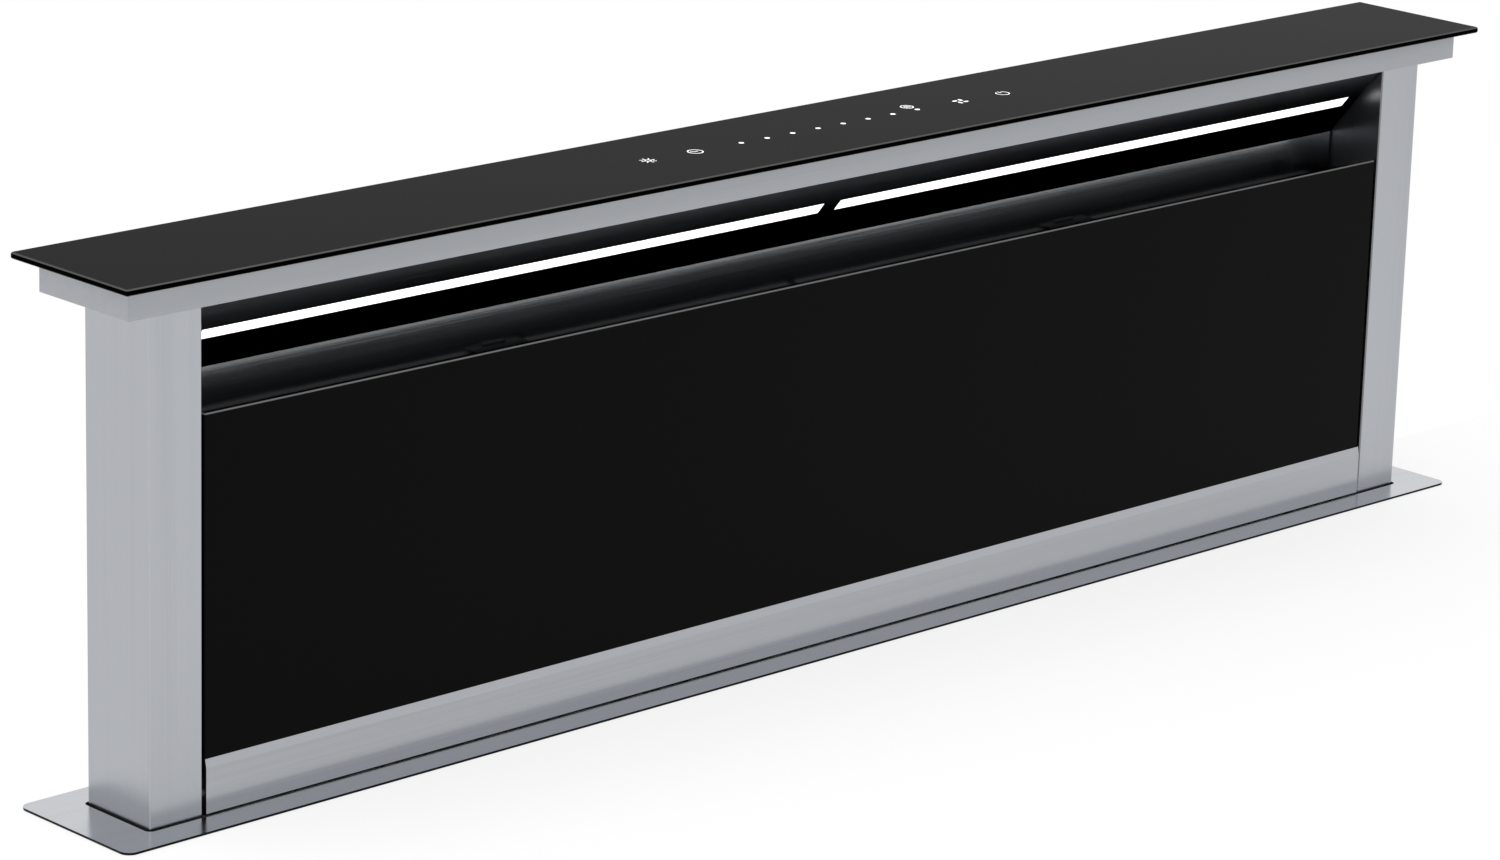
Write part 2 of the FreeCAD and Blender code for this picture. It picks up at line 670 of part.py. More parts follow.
def volute(offset, y0, y1, bottom):
    """The blower casing's form between two planes, grown by the offset: a spiral and its outlet."""
    arcs = volute_arcs(offset, y0)
    edges = [Part.Arc(*points).toShape() for points in arcs]
    edges.append(Part.makeLine(arcs[-1][-1], arcs[0][0]))
    spiral = Part.Face(Part.Wire(edges)).extrude(FreeCAD.Vector(0, y1 - y0, 0))
    x0, x1 = outlet_span()
    outlet = box(x0 - offset, x1 + offset, y0, y1, bottom, arcs[0][0].z)
    return spiral.fuse(outlet).removeSplitter()


def blower_casing():
    """The scroll casing: open at its outlet and to the cover, with the round air inlet behind."""
    back_y = -CHASSIS_D / 2
    front_y = back_y - BLOWER_D
    inside = volute(0, front_y - 1, back_y - WALL, OUTLET_BOTTOM - 1)
    casing = volute(WALL, front_y, back_y, OUTLET_BOTTOM).cut(inside)
    inlet = cylinder(INLET_R, (BLOWER_X, back_y - 5, BLOWER_Z), (BLOWER_X, back_y + 5, BLOWER_Z))
    return casing.cut(inlet)


def blower_cover():
    """The casing's flat front, with the round opening for the motor's shaft."""
    front_y = -CHASSIS_D / 2 - BLOWER_D
    cover = volute(WALL, front_y - WALL, front_y, OUTLET_BOTTOM)
    opening = cylinder(20.0, (BLOWER_X, front_y - 5, BLOWER_Z), (BLOWER_X, front_y + 5, BLOWER_Z))
    return cover.cut(opening)


def impeller_blade(y0, y1):
    """One forward-curved blade at the top of the wheel, before it is turned to its place."""
    depth = IMPELLER_R - BLADE_INNER_R
    lean = [(0.05, 0.03), (-0.12, 0.45), (0.12, 0.95)]
    curve = [(depth * u, BLADE_INNER_R + depth * v) for u, v in lean]
    face = polygon_face([FreeCAD.Vector(u, y0, v) for u, v in folded(curve, 1.2)])
    return face.extrude(FreeCAD.Vector(0, y1 - y0, 0))


def wheel_plate(radius, y0, y1):
    """A round plate of the blower wheel, pressed with as many flats as WHEEL_FLATS."""
    turns = [2 * math.pi * i / WHEEL_FLATS for i in range(WHEEL_FLATS)]
    rim = [FreeCAD.Vector(radius * math.cos(a), y0, radius * math.sin(a)) for a in turns]
    face = polygon_face(rim)
    return face.extrude(FreeCAD.Vector(0, y1 - y0, 0))


def impeller():
    """The blower wheel: blades between a front ring and a back disc, on a hub."""
    back_y = -CHASSIS_D / 2 - 14
    front_y = back_y - 118
    eye = wheel_plate(BLADE_INNER_R, back_y - 5, back_y + 5)
    ring = wheel_plate(IMPELLER_R, back_y - 3, back_y).cut(eye)
    disc = wheel_plate(IMPELLER_R, front_y, front_y + 2)
    hub = cylinder(14.0, (0, front_y, 0), (0, front_y + 34, 0))
    blade = impeller_blade(front_y + 2, back_y - 3)
    blades = []
    for i in range(BLADES):
        turned = blade.copy()
        turned.rotate(FreeCAD.Vector(0, 0, 0), FreeCAD.Vector(0, 1, 0), 360 / BLADES * i)
        blades.append(turned)
    wheel = disc.fuse([ring, hub] + blades)
    wheel = wheel.cut(cylinder(MOTOR_SHAFT_R, (0, front_y - 5, 0), (0, back_y, 0)))
    wheel.translate(FreeCAD.Vector(BLOWER_X, 0, BLOWER_Z))
    return wheel


def motor_shaft():
    """The shaft ends a little inside the wheel's hub."""
    front_y = MOTOR_FACE_Y + 14
    return cylinder(MOTOR_SHAFT_R, (BLOWER_X, front_y, BLOWER_Z), (BLOWER_X, front_y + 82, BLOWER_Z))


def blower_motor():
    """The motor on the casing's cover: a flat can with a bore for its shaft."""
    back_y = MOTOR_FACE_Y + MOTOR_LENGTH
    can = cylinder(MOTOR_R, (BLOWER_X, MOTOR_FACE_Y, BLOWER_Z), (BLOWER_X, back_y, BLOWER_Z))
    bore_start = (BLOWER_X, MOTOR_FACE_Y + 12, BLOWER_Z)
    return can.cut(cylinder(MOTOR_SHAFT_R + RUNNING, bore_start, (BLOWER_X, back_y + 1, BLOWER_Z)))


def duct_centre():
    x0, x1 = outlet_span()
    return (x0 + x1) / 2, -CHASSIS_D / 2 - (BLOWER_D + WALL) / 2


def square_to_round(corners, top, radius, x, y, bottom):
    """A solid from a rectangle to a circle, brake-formed as sheet metal is: flats and corner folds."""
    folds = 4
    high = [FreeCAD.Vector(u, v, top) for u, v in corners]
    count = 4 * folds
    turns = [math.radians(225 + 360 / count * i) for i in range(count)]
    low = [FreeCAD.Vector(x + radius * math.cos(a), y + radius * math.sin(a), bottom) for a in turns]
    faces = [polygon_face(high), polygon_face(low)]
    for side in range(4):
        middle = low[(side * folds + folds // 2) % count]
        faces.append(polygon_face([high[side], high[(side + 1) % 4], middle]))
        for fold in range(-folds // 2, folds // 2):
            first = low[(side * folds + fold) % count]
            second = low[(side * folds + fold + 1) % count]
            faces.append(polygon_face([high[side], first, second]))
    return Part.makeSolid(Part.makeShell(faces))


def duct_adapter():
    """Leads the casing's rectangular outlet into the round collar."""
    x0, x1 = outlet_span()
    y0 = -CHASSIS_D / 2 - BLOWER_D
    y1 = -CHASSIS_D / 2 - WALL
    x, y = duct_centre()
    solids = []
    for skin in (COLLAR_WALL, 0):
        corners = [(x0 - skin, y0 - skin), (x1 + skin, y0 - skin),
                   (x1 + skin, y1 + skin), (x0 - skin, y1 + skin)]
        radius = COLLAR_R - COLLAR_WALL + skin
        solids.append(square_to_round(corners, OUTLET_BOTTOM, radius, x, y, COLLAR_TOP))
    return solids[0].cut(solids[1])


def duct_collar():
    """The round outlet that a duct slides over."""
    x, y = duct_centre()
    tube = cylinder(COLLAR_R, (x, y, COLLAR_BOTTOM), (x, y, COLLAR_TOP))
    return tube.cut(cylinder(COLLAR_R - COLLAR_WALL, (x, y, COLLAR_BOTTOM - 1), (x, y, COLLAR_TOP + 1)))


def damper_pin():
    x, y = duct_centre()
    half = COLLAR_R - COLLAR_WALL - 0.1
    return cylinder(FLAP_PIN_R, (x - half, y, FLAP_Z), (x + half, y, FLAP_Z))


def damper_flap(side):
    """One half-round flap. The side is -1 for the front flap and 1 for the back one."""
    x, y = duct_centre()
    radius = COLLAR_R - COLLAR_WALL - 1.5
    own = x + (2 if side > 0 else -2 - KNUCKLE_LENGTH)
    other = x + (-2 - KNUCKLE_LENGTH if side > 0 else 2) - 0.5
    disc = cylinder(radius, (x, y, FLAP_Z - FLAP_T / 2), (x, y, FLAP_Z + FLAP_T / 2))
    y0, y1 = sorted((y + side * (KNUCKLE_R - 0.6), y + side * 80))
    flap = disc.common(box(x - 80, x + 80, y0, y1, FLAP_Z - 2, FLAP_Z + 2))
    r = KNUCKLE_R
    flap = flap.fuse(box(own, own + KNUCKLE_LENGTH, y - r, y + r, FLAP_Z - r, FLAP_Z + r))
    flap = flap.cut(box(other, other + KNUCKLE_LENGTH + 1, y - 6, y + 6, FLAP_Z - 6, FLAP_Z + 6))
    return flap.cut(cylinder(FLAP_PIN_R + RUNNING, (x - 90, y, FLAP_Z), (x + 90, y, FLAP_Z)))


# ---- electrics ----

def control_box():
    case = box(BOX_X0, BOX_X1, BOX_Y, -CHASSIS_D / 2, BOX_Z0, BOX_Z1)
    return case.makeChamfer(3.0, [e for e in case.Edges if e.BoundBox.YLength > 50])


def control_lid():
    y = BOX_Y - LID_T
    lid = box(BOX_X0 - LID_LAP, BOX_X1 + LID_LAP, y, BOX_Y, BOX_Z0 - LID_LAP, BOX_Z1 + LID_LAP)
    return lid.makeChamfer(3.0, [e for e in lid.Edges if e.BoundBox.YMax < y + 0.1])


def cable_gland():
    """The strain relief under the control box: two hexagons with the cable's bore through them."""
    nut = along_z(hexagon(GLAND_X, GLAND_Y, 11), BOX_Z0 - 8, BOX_Z0)
    cap = along_z(hexagon(GLAND_X, GLAND_Y, 9), BOX_Z0 - 20, BOX_Z0 - 8)
    bore = cylinder(GLAND_BORE_R, (GLAND_X, GLAND_Y, BOX_Z0 - 25), (GLAND_X, GLAND_Y, BOX_Z0))
    return nut.fuse(cap).cut(bore)


# ---- fasteners ----

def chassis_screws():
    """Screws through the long walls into the side walls' returns."""
    x = CHASSIS_W / 2 - RETURN / 2
    heads = []
    for z in (-30, -350, -670):
        for side in (-1, 1):
            heads.append(hex_head(side * x, -CHASSIS_D / 2, z, -1))
            heads.append(hex_head(side * x, CHASSIS_D / 2, z, 1))
    return heads


def motor_screws():
    """Four screws on the motor's face."""
    step = (MOTOR_R - 10) / math.sqrt(2)
    corners = [(1, 1), (-1, 1), (-1, -1), (1, -1)]
    return [hex_head(BLOWER_X + step * u, MOTOR_FACE_Y, BLOWER_Z + step * v, -1) for u, v in corners]


# ---- the whole vent ----

def both_sides(right):
    """The solids of a piece, and of its twin on the left."""
    solids = right if isinstance(right, list) else [right]
    return solids + [mirrored(s) for s in solids]


def shifted(shape, x):
    moved = shape.copy()
    moved.translate(FreeCAD.Vector(x, 0, 0))
    return moved


def filter_nodes():
    nodes = {"filter_keepers": [], "latch_plates": []}
    for side, x in (("left", -FILTER_X), ("right", FILTER_X)):
        nodes["filter_frame_" + side] = shifted(filter_frame(), x)
        nodes["filter_mesh_" + side] = shifted(filter_mesh(), x)
        nodes["latch_slider_" + side] = shifted(latch_slider(), x)
        nodes["latch_plates"].append(shifted(latch_plate(), x))
        nodes["filter_keepers"].append(shifted(filter_keeper(), x))
    return nodes


def light_nodes():
    nodes = {"light_lenses": [], "light_channels": [], "light_boards": []}
    for x0 in (-LED_HALF_GAP - LED_LENGTH, LED_HALF_GAP):
        for name, solid in zip(nodes, led_parts(x0)):
            nodes[name].append(solid)
    return nodes


def riser_nodes():
    half_filter_gap = FILTER_X - FILTER_W / 2 - 0.6
    divider = box(-half_filter_gap, half_filter_gap, FILTER_Y, FILTER_Y + FILTER_T,
                  FILTER_Z, HOOD_WALL_BOTTOM + 3)
    nodes = {
        "cap_glass": cap_glass(), "cap_band": cap_band(),
        "column_right": column(), "column_left": mirrored(column()),
        "lower_front": lower_front(), "back_cover": back_cover(), "inlet_hood": inlet_hood(),
        "touch_board": box(-170, 190, -15, 15, RISE - GLASS_T - 1.6, RISE - GLASS_T),
        "light_driver": box(-70, 70, 16.5, 28, 236, 258),
        "front_glass": panel_glass(), "panel_rail": panel_rail(), "panel_carrier": panel_carrier(),
        "hinge_blocks": both_sides(hinge_block()), "hinge_pins": both_sides(hinge_pin()),
        "magnet_catches": both_sides(magnet_catch()),
        "filter_channel": filter_channel(), "filter_rails": both_sides(filter_rail()) + [divider],
        "drip_tray": drip_tray(),
        "guide_shoes": both_sides(guide_shoes()),
    }
    nodes.update(filter_nodes())
    nodes.update(light_nodes())
    return nodes


def lift_nodes():
    return {
        "base_beam": base_beam(), "lift_gearbox": lift_gearbox(), "lift_motor": lift_motor(),
        "shaft_bearings": both_sides(shaft_bearing()), "cross_shaft": cross_shaft(),
        "pinions": both_sides(pinion()), "racks": both_sides(rack()),
        "guide_rails": both_sides(guide_rail()),
    }


def chassis_nodes():
    return {
        "deck_trim": deck_trim(), "chassis_front": chassis_front(), "chassis_back": chassis_back(),
        "chassis_sides": both_sides(chassis_side()),
        "chassis_bottom": chassis_bottom(), "levelling_feet": levelling_feet(),
        "worktop_clamps": both_sides(worktop_clamp()), "screws": chassis_screws() + motor_screws(),
        "control_box": control_box(), "control_lid": control_lid(), "cable_gland": cable_gland(),
    }


def blower_nodes():
    return {
        "blower_casing": blower_casing(), "blower_cover": blower_cover(),
        "impeller": impeller(), "motor_shaft": motor_shaft(), "blower_motor": blower_motor(),
        "duct_adapter": duct_adapter(), "duct_collar": duct_collar(), "damper_pin": damper_pin(),
        "damper_flap_front": damper_flap(-1), "damper_flap_back": damper_flap(1),
    }


def all_nodes():
    return {**riser_nodes(), **lift_nodes(), **chassis_nodes(), **blower_nodes()}


def main():
    os.makedirs("parts", exist_ok=True)
    for name, shape in all_nodes().items():
        if isinstance(shape, list):
            shape = shape[0] if len(shape) == 1 else Part.makeCompound(shape)
        shape.exportStep("parts/" + name + ".step")


main()
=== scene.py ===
import math

import bmesh
import bpy
from mathutils import Matrix, Vector


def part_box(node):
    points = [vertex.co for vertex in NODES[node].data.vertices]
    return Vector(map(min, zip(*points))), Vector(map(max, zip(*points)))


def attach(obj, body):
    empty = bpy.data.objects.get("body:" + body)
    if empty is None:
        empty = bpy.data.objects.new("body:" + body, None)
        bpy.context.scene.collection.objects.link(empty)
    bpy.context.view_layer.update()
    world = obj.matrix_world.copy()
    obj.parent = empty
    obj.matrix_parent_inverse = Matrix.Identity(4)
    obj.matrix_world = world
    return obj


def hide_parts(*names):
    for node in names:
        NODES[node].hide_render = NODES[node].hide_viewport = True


bl_info = {
    "name": "Downdraft vent dresser",
    "version": (1, 0, 0),
    "blender": (4, 5, 0),
    "location": "3D View > Sidebar > Vent",
    "description": "Finishes, printed controls, filters, fasteners and studio for a downdraft vent",
    "category": "Object",
}

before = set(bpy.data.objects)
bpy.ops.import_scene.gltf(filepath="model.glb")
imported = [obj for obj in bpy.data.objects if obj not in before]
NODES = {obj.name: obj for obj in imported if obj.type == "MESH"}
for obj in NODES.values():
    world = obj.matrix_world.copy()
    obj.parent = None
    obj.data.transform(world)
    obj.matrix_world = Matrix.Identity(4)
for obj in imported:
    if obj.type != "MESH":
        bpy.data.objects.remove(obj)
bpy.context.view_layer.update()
MM = 0.001
FULL_TURN = 2 * math.pi
COLUMN_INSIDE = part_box("column_right")[0].x + 2 * MM    # just past the columns' inner walls

# The places of the touch symbols and of the first speed dot on the cap glass.
LIGHT_X = -152.0 * MM
TIMER_X = -111.6 * MM
FIRST_DOT_X = -71.6 * MM
FILTER_X, FILTER_Y = 87.2 * MM, 9.5 * MM
FAN_X = 127.7 * MM
POWER_X = 167.9 * MM
SPEED_DOTS = 8

BLACK = (0, 0, 0, 1)
PAINTED_INSIDE_SHADE = 0.55                                    # share of colour that inner cheeks lose: painted shade between the columns

# Real glass has an IOR of about 1.5. These keep it as black as in the photo with white all round.
CAP_IOR = 1.03
PANEL_IOR = 1.12

MESH_THICKNESS = 0.8 * MM                               # of each of a filter's two sheets

SCREW_ROWS = (-30 * MM, -350 * MM, -670 * MM)           # heights of the screws on the chassis
SCREW_EDGE = 10 * MM                                    # from a screw to the edge of its sheet
FOOT_RADIUS = 18 * MM
MOTOR_RIBS = 40

FLOOR_TOP = -0.3 * MM                                   # just under the deck trim
FLOOR_REACH = 6.0
FLOOR_BACK = 0.047                                      # level with the back of the chassis
FLOOR_WHITE = 0.62                                      # how much of the floor shows as plain white
LAMPS = (("overhead", (-0.6, -0.5, 2.2), 2.4, 1.0),     # name, place, size and share of the power
         ("front_fill", (-1.8, -2.2, 1.4), 1.6, 0.35))
LAMP_AIM = (0, 0, 0.15)

# The camera that was fitted to the edges of the object in the photo.
CAMERA_PLACE = (-2.36447, -2.37762, 1.10898)
CAMERA_RIGHT = (0.7228535, -0.6904482, 0.0276424)
CAMERA_FORWARD = (0.6688852, 0.6891180, -0.2787633)


# ---- settings that a user may change ----

class VentSizes(bpy.types.PropertyGroup):
    icon_line: bpy.props.FloatProperty(
        name="Icon line", description="Width of the printed lines", default=0.75 * MM, unit="LENGTH")
    dot_radius: bpy.props.FloatProperty(
        name="Dot radius", description="Radius of a speed dot", default=1.8 * MM, unit="LENGTH")
    dot_pitch: bpy.props.FloatProperty(
        name="Dot pitch", description="Distance between speed dots", default=22.7 * MM, unit="LENGTH")
    mesh_pitch_x: bpy.props.FloatProperty(
        name="Mesh pitch, long", description="Length of a diamond in the filter mesh",
        default=6.7 * MM, unit="LENGTH")
    mesh_pitch_z: bpy.props.FloatProperty(
        name="Mesh pitch, short", description="Height of a diamond in the filter mesh",
        default=5.8 * MM, unit="LENGTH")
    strand: bpy.props.FloatProperty(
        name="Strand", description="Width of a strand in the filter mesh",
        default=1.8 * MM, unit="LENGTH")
    blades: bpy.props.IntProperty(
        name="Blades", description="Blades of the blower wheel", default=38, min=8, max=64)


class VentColours(bpy.types.PropertyGroup):
    steel: bpy.props.FloatVectorProperty(
        name="Brushed steel", description="Tint of the brushed stainless steel",
        default=(0.43, 0.445, 0.47), subtype="COLOR", size=3, min=0, max=1)
    glass: bpy.props.FloatVectorProperty(
        name="Black glass", description="Enamel seen through the glass",
        default=(0.001, 0.001, 0.0011), subtype="COLOR", size=3, min=0, max=1)
    cap_glass: bpy.props.FloatVectorProperty(
        name="Cap glass", description="Enamel seen through the cap's satin glass",
        default=(0.0065, 0.0065, 0.0067), subtype="COLOR", size=3, min=0, max=1)
    zinc: bpy.props.FloatVectorProperty(
        name="Zinc", description="Tint of the zinc coated sheet",
        default=(0.50, 0.52, 0.54), subtype="COLOR", size=3, min=0, max=1)
    aluminium: bpy.props.FloatVectorProperty(
        name="Aluminium", description="Tint of the dampers and the light channels",
        default=(0.66, 0.66, 0.67), subtype="COLOR", size=3, min=0, max=1)
    filter: bpy.props.FloatVectorProperty(
        name="Filter", description="Tint of the filters' frames and mesh",
        default=(0.64, 0.64, 0.645), subtype="COLOR", size=3, min=0, max=1)
    moulding: bpy.props.FloatVectorProperty(
        name="Latch moulding", description="Colour of the latch plates",
        default=(0.125, 0.125, 0.13), subtype="COLOR", size=3, min=0, max=1)


class VentStudio(bpy.types.PropertyGroup):
    lamp: bpy.props.FloatProperty(
        name="Lamp", description="Power of the large overhead lamp", default=26.0, min=0, unit="POWER")
    ambient: bpy.props.FloatProperty(
        name="Ambient", description="Strength of the light from all round", default=1.0, min=0)
    lens: bpy.props.FloatProperty(
        name="Lens", description="Focal length of the camera", default=128.23, unit="CAMERA")


# ---- node trees ----

def add(tree, kind, inputs=None, **settings):
    """Adds a node, with its settings and its inputs, which are values or other nodes' sockets."""
    made = tree.nodes.new(kind)
    for key, value in settings.items():
        setattr(made, key, value)
    for key, value in (inputs or {}).items():
        if isinstance(value, bpy.types.NodeSocket):
            tree.links.new(value, made.inputs[key])
        else:
            made.inputs[key].default_value = value
    return made


def new_material(name):
    made = bpy.data.materials.get(name)
    if made:
        return made, None
    made = bpy.data.materials.new(name)
    made.use_nodes = True
    made.node_tree.nodes.clear()
    return made, made.node_tree


def stretched_noise(tree, scale, detail=3.0):
    """Noise whose features are 1/scale metres long on each axis."""
    place = add(tree, "ShaderNodeTexCoord").outputs["Object"]
    turned = add(tree, "ShaderNodeMapping", {"Vector": place, "Scale": scale})
    return add(tree, "ShaderNodeTexNoise", {"Vector": turned.outputs[0], "Scale": 1.0, "Detail": detail,
                                            "Roughness": 0.6}).outputs["Fac"]


def ramp(tree, factor, low, high, start=0.3, end=0.7):
    made = add(tree, "ShaderNodeValToRGB", {"Fac": factor})
    made.color_ramp.elements[0].position = start
    made.color_ramp.elements[0].color = (*low, 1)
    made.color_ramp.elements[1].position = end
    made.color_ramp.elements[1].color = (*high, 1)
    return made.outputs["Color"]


def span(tree, factor, low, high, start=0.0, end=1.0):
    return add(tree, "ShaderNodeMapRange", {"Value": factor, "From Min": start, "From Max": end,
                                            "To Min": low, "To Max": high}).outputs[0]


def maths(tree, kind, a, b=0.0):
    return add(tree, "ShaderNodeMath", {0: a, 1: b}, operation=kind).outputs[0]


def vector(tree, x=0.0, y=0.0, z=0.0):
    return add(tree, "ShaderNodeCombineXYZ", {"X": x, "Y": y, "Z": z}).outputs[0]


def axes_of(tree, value):
    """The X, Y and Z sockets of a vector."""
    return add(tree, "ShaderNodeSeparateXYZ", {"Vector": value}).outputs


def coordinate(tree, kind):
    """The piece's own Object place or Normal, split in its axes."""
    return axes_of(tree, add(tree, "ShaderNodeTexCoord").outputs[kind])


def blend(tree, factor, a, b):
    """A colour between two colours or colour sockets."""
    return add(tree, "ShaderNodeMix", {"Factor": factor, "A": a, "B": b},
               data_type="RGBA").outputs["Result"]


def bump(tree, height, strength, distance):
    return add(tree, "ShaderNodeBump", {"Height": height, "Strength": strength,
                                        "Distance": distance}).outputs[0]


def tint(colour, share):
    return tuple(min(1.0, c * share) for c in colour)


def shade(tree, inputs):
    surface = add(tree, "ShaderNodeBsdfPrincipled", inputs)
    add(tree, "ShaderNodeOutputMaterial", {"Surface": surface.outputs[0]})
    return surface


def upright_share(tree):
    """1 on level faces and 0 on upright ones, by the piece's own normal."""
    return maths(tree, "ABSOLUTE", coordinate(tree, "Normal")["Z"])


def hood_painted_shade(tree):
    """The share of colour that the hood keeps, a painted shade: its wall darkens downward and its
    ceiling inward.
    """
    z = coordinate(tree, "Object")["Z"]
    wall = span(tree, z, 0.015, 1.0, 0.233, 0.253)
    ceiling = span(tree, z, 0.01, 0.85, 0.284, 0.312)
    leaning = maths(tree, "GREATER_THAN", upright_share(tree), 0.3)
    return add(tree, "ShaderNodeMix", {"Factor": leaning, "A": wall, "B": ceiling}).outputs["Result"]


def brushed_steel(name, colour, grain, roughness=0.3, edge=None, hood=False, inside=0.0):
    """Stainless steel with fine grain along the axis named by grain, X or Z.

    edge is the colour of faces that don't look up or down, as painted shade, hood grades the colour
    with height as painted shade, and faces across X that lie within the distance inside of the middle
    are darker, a painted shade between the columns.
    """
    made, tree = new_material(name)
    if not tree:
        return made
    along = {"X": (4, 1500, 1500), "Z": (1500, 1500, 4)}[grain]
    broad = {"X": (1.0, 90, 90), "Z": (90, 90, 1.0)}[grain]
    axis = {"X": (1, 0.02, 0), "Z": (0, 0.02, 1)}[grain]
    fine = stretched_noise(tree, along, 4.0)
    wide = stretched_noise(tree, broad, 2.0)
    mixed = maths(tree, "ADD", fine, wide)
    base = ramp(tree, mixed, tint(colour, 0.97), tint(colour, 1.03), 0.75, 1.25)
    if edge is not None:
        flat = maths(tree, "GREATER_THAN", upright_share(tree), 0.5)
        base = blend(tree, flat, (*edge, 1), base)
    # Painted shade: the hood's wall darkens downward and its ceiling inward.
    if hood:
        base = blend(tree, hood_painted_shade(tree), BLACK, base)
    normal = add(tree, "ShaderNodeNewGeometry").outputs["Normal"]
    across = add(tree, "ShaderNodeVectorMath", {0: normal, 1: axis},
                 operation="CROSS_PRODUCT").outputs[0]
    # Painted shade: faces across X between the columns are darkened.
    if inside:
        place = coordinate(tree, "Object")["X"]
        facing = coordinate(tree, "Normal")["X"]
        near = maths(tree, "LESS_THAN", maths(tree, "ABSOLUTE", place), inside)
        across_x = maths(tree, "GREATER_THAN", maths(tree, "ABSOLUTE", facing), 0.5)
        inside_shade = maths(tree, "MULTIPLY", maths(tree, "MULTIPLY", near, across_x), PAINTED_INSIDE_SHADE)
        base = blend(tree, inside_shade, base, BLACK)
    rim = 0.0 if hood else 1.0
    shade(tree, {"Base Color": base, "Metallic": 1.0, "Anisotropic": 0.5, "Tangent": across,
                 "Specular Tint": (rim, rim, rim, 1),
                 "Roughness": span(tree, fine, roughness - 0.03, roughness + 0.04, 0.3, 0.7),
                 "Normal": bump(tree, fine, 0.08, 0.00004)})
    return made


def black_glass(name, colour, ior, ground, edges_darker=0.0):
    """Back-painted glass. ground is the grey of its ground edges, which lean half way up, and
    edges_darker is the share of colour that its upright sides lose, as painted shade."""
    made, tree = new_material(name)
    if not tree:
        return made
    smudge = stretched_noise(tree, (9, 14, 14), 3.0)
    dust = stretched_noise(tree, (1400, 1400, 1400), 1.0)
    base = ramp(tree, dust, colour, tint(colour, 1.25), 0.55, 0.8)
    z = coordinate(tree, "Normal")["Z"]
    leaning = maths(tree, "MULTIPLY", maths(tree, "GREATER_THAN", z, 0.4),
                    maths(tree, "LESS_THAN", z, 0.9))
    upright = maths(tree, "LESS_THAN", maths(tree, "ABSOLUTE", z), 0.4)
    # Painted shade: the upright sides lose colour by edges_darker.
    edge = maths(tree, "MULTIPLY", upright, edges_darker)
    base = blend(tree, edge, base, BLACK)
    base = blend(tree, leaning, base, (ground, ground, ground, 1))
    sheen = span(tree, smudge, 0.03, 0.09, 0.35, 0.65)
    rough = maths(tree, "MAXIMUM", sheen, maths(tree, "MULTIPLY", leaning, 0.5))
    shade(tree, {"Base Color": base, "IOR": ior, "Roughness": rough})
    return made


def zinc_sheet(name, colour):
    """Hot-dip coated sheet with its spangle."""
    made, tree = new_material(name)
    if not tree:
        return made
    place = add(tree, "ShaderNodeTexCoord").outputs["Object"]
    spangle = add(tree, "ShaderNodeTexVoronoi", {"Vector": place, "Scale": 110.0, "Randomness": 1.0})
    grey = add(tree, "ShaderNodeRGBToBW", {"Color": spangle.outputs["Color"]}).outputs[0]
    fine = stretched_noise(tree, (500, 500, 500), 3.0)
    base = ramp(tree, grey, tint(colour, 0.94), tint(colour, 1.05), 0.2, 0.8)
    shade(tree, {"Base Color": base, "Metallic": 1.0,
                 "Roughness": span(tree, grey, 0.38, 0.46, 0.2, 0.8),
                 "Normal": bump(tree, fine, 0.1, 0.0001)})
    return made


def grained(name, colour, metallic, low, high, scale, strength):
    """A plain finish, between two roughnesses, with fine grain: paint, moulding or turned metal."""
    made, tree = new_material(name)
    if not tree:
        return made
    fine = stretched_noise(tree, (scale, scale, scale), 3.0)
    wide = stretched_noise(tree, (14, 14, 14), 2.0)
    base = ramp(tree, wide, tint(colour, 0.9), tint(colour, 1.1))
    shade(tree, {"Base Color": base, "Metallic": metallic, "IOR": 1.45,
                 "Roughness": span(tree, fine, low, high, 0.3, 0.7),
                 "Normal": bump(tree, fine, strength, 0.0002)})
    return made


def glowing(name, colour, strength):
    """A white surface that gives light, slightly mottled as an opal moulding is."""
    made, tree = new_material(name)
    if not tree:
        return made
    mottle = stretched_noise(tree, (300, 300, 300), 2.0)
    base = ramp(tree, mottle, tint(colour, 0.96), colour)
    shade(tree, {"Base Color": base, "Roughness": span(tree, mottle, 0.3, 0.45, 0.3, 0.7),
                 "Emission Color": (*colour, 1), "Emission Strength": strength})
    return made


def circuit_board(name):
    """Green lacquer with faint copper runs."""
    made, tree = new_material(name)
    if not tree:
        return made
    place = add(tree, "ShaderNodeTexCoord").outputs["Object"]
    runs = add(tree, "ShaderNodeTexBrick", {"Vector": place, "Scale": 220.0, "Mortar Size": 0.02,
                                            "Color1": (0.02, 0.12, 0.05, 1),
                                            "Color2": (0.025, 0.14, 0.06, 1),
                                            "Mortar": (0.05, 0.2, 0.1, 1)})
    shade(tree, {"Base Color": runs.outputs["Color"],
                 "Roughness": span(tree, runs.outputs["Fac"], 0.35, 0.5)})
    return made


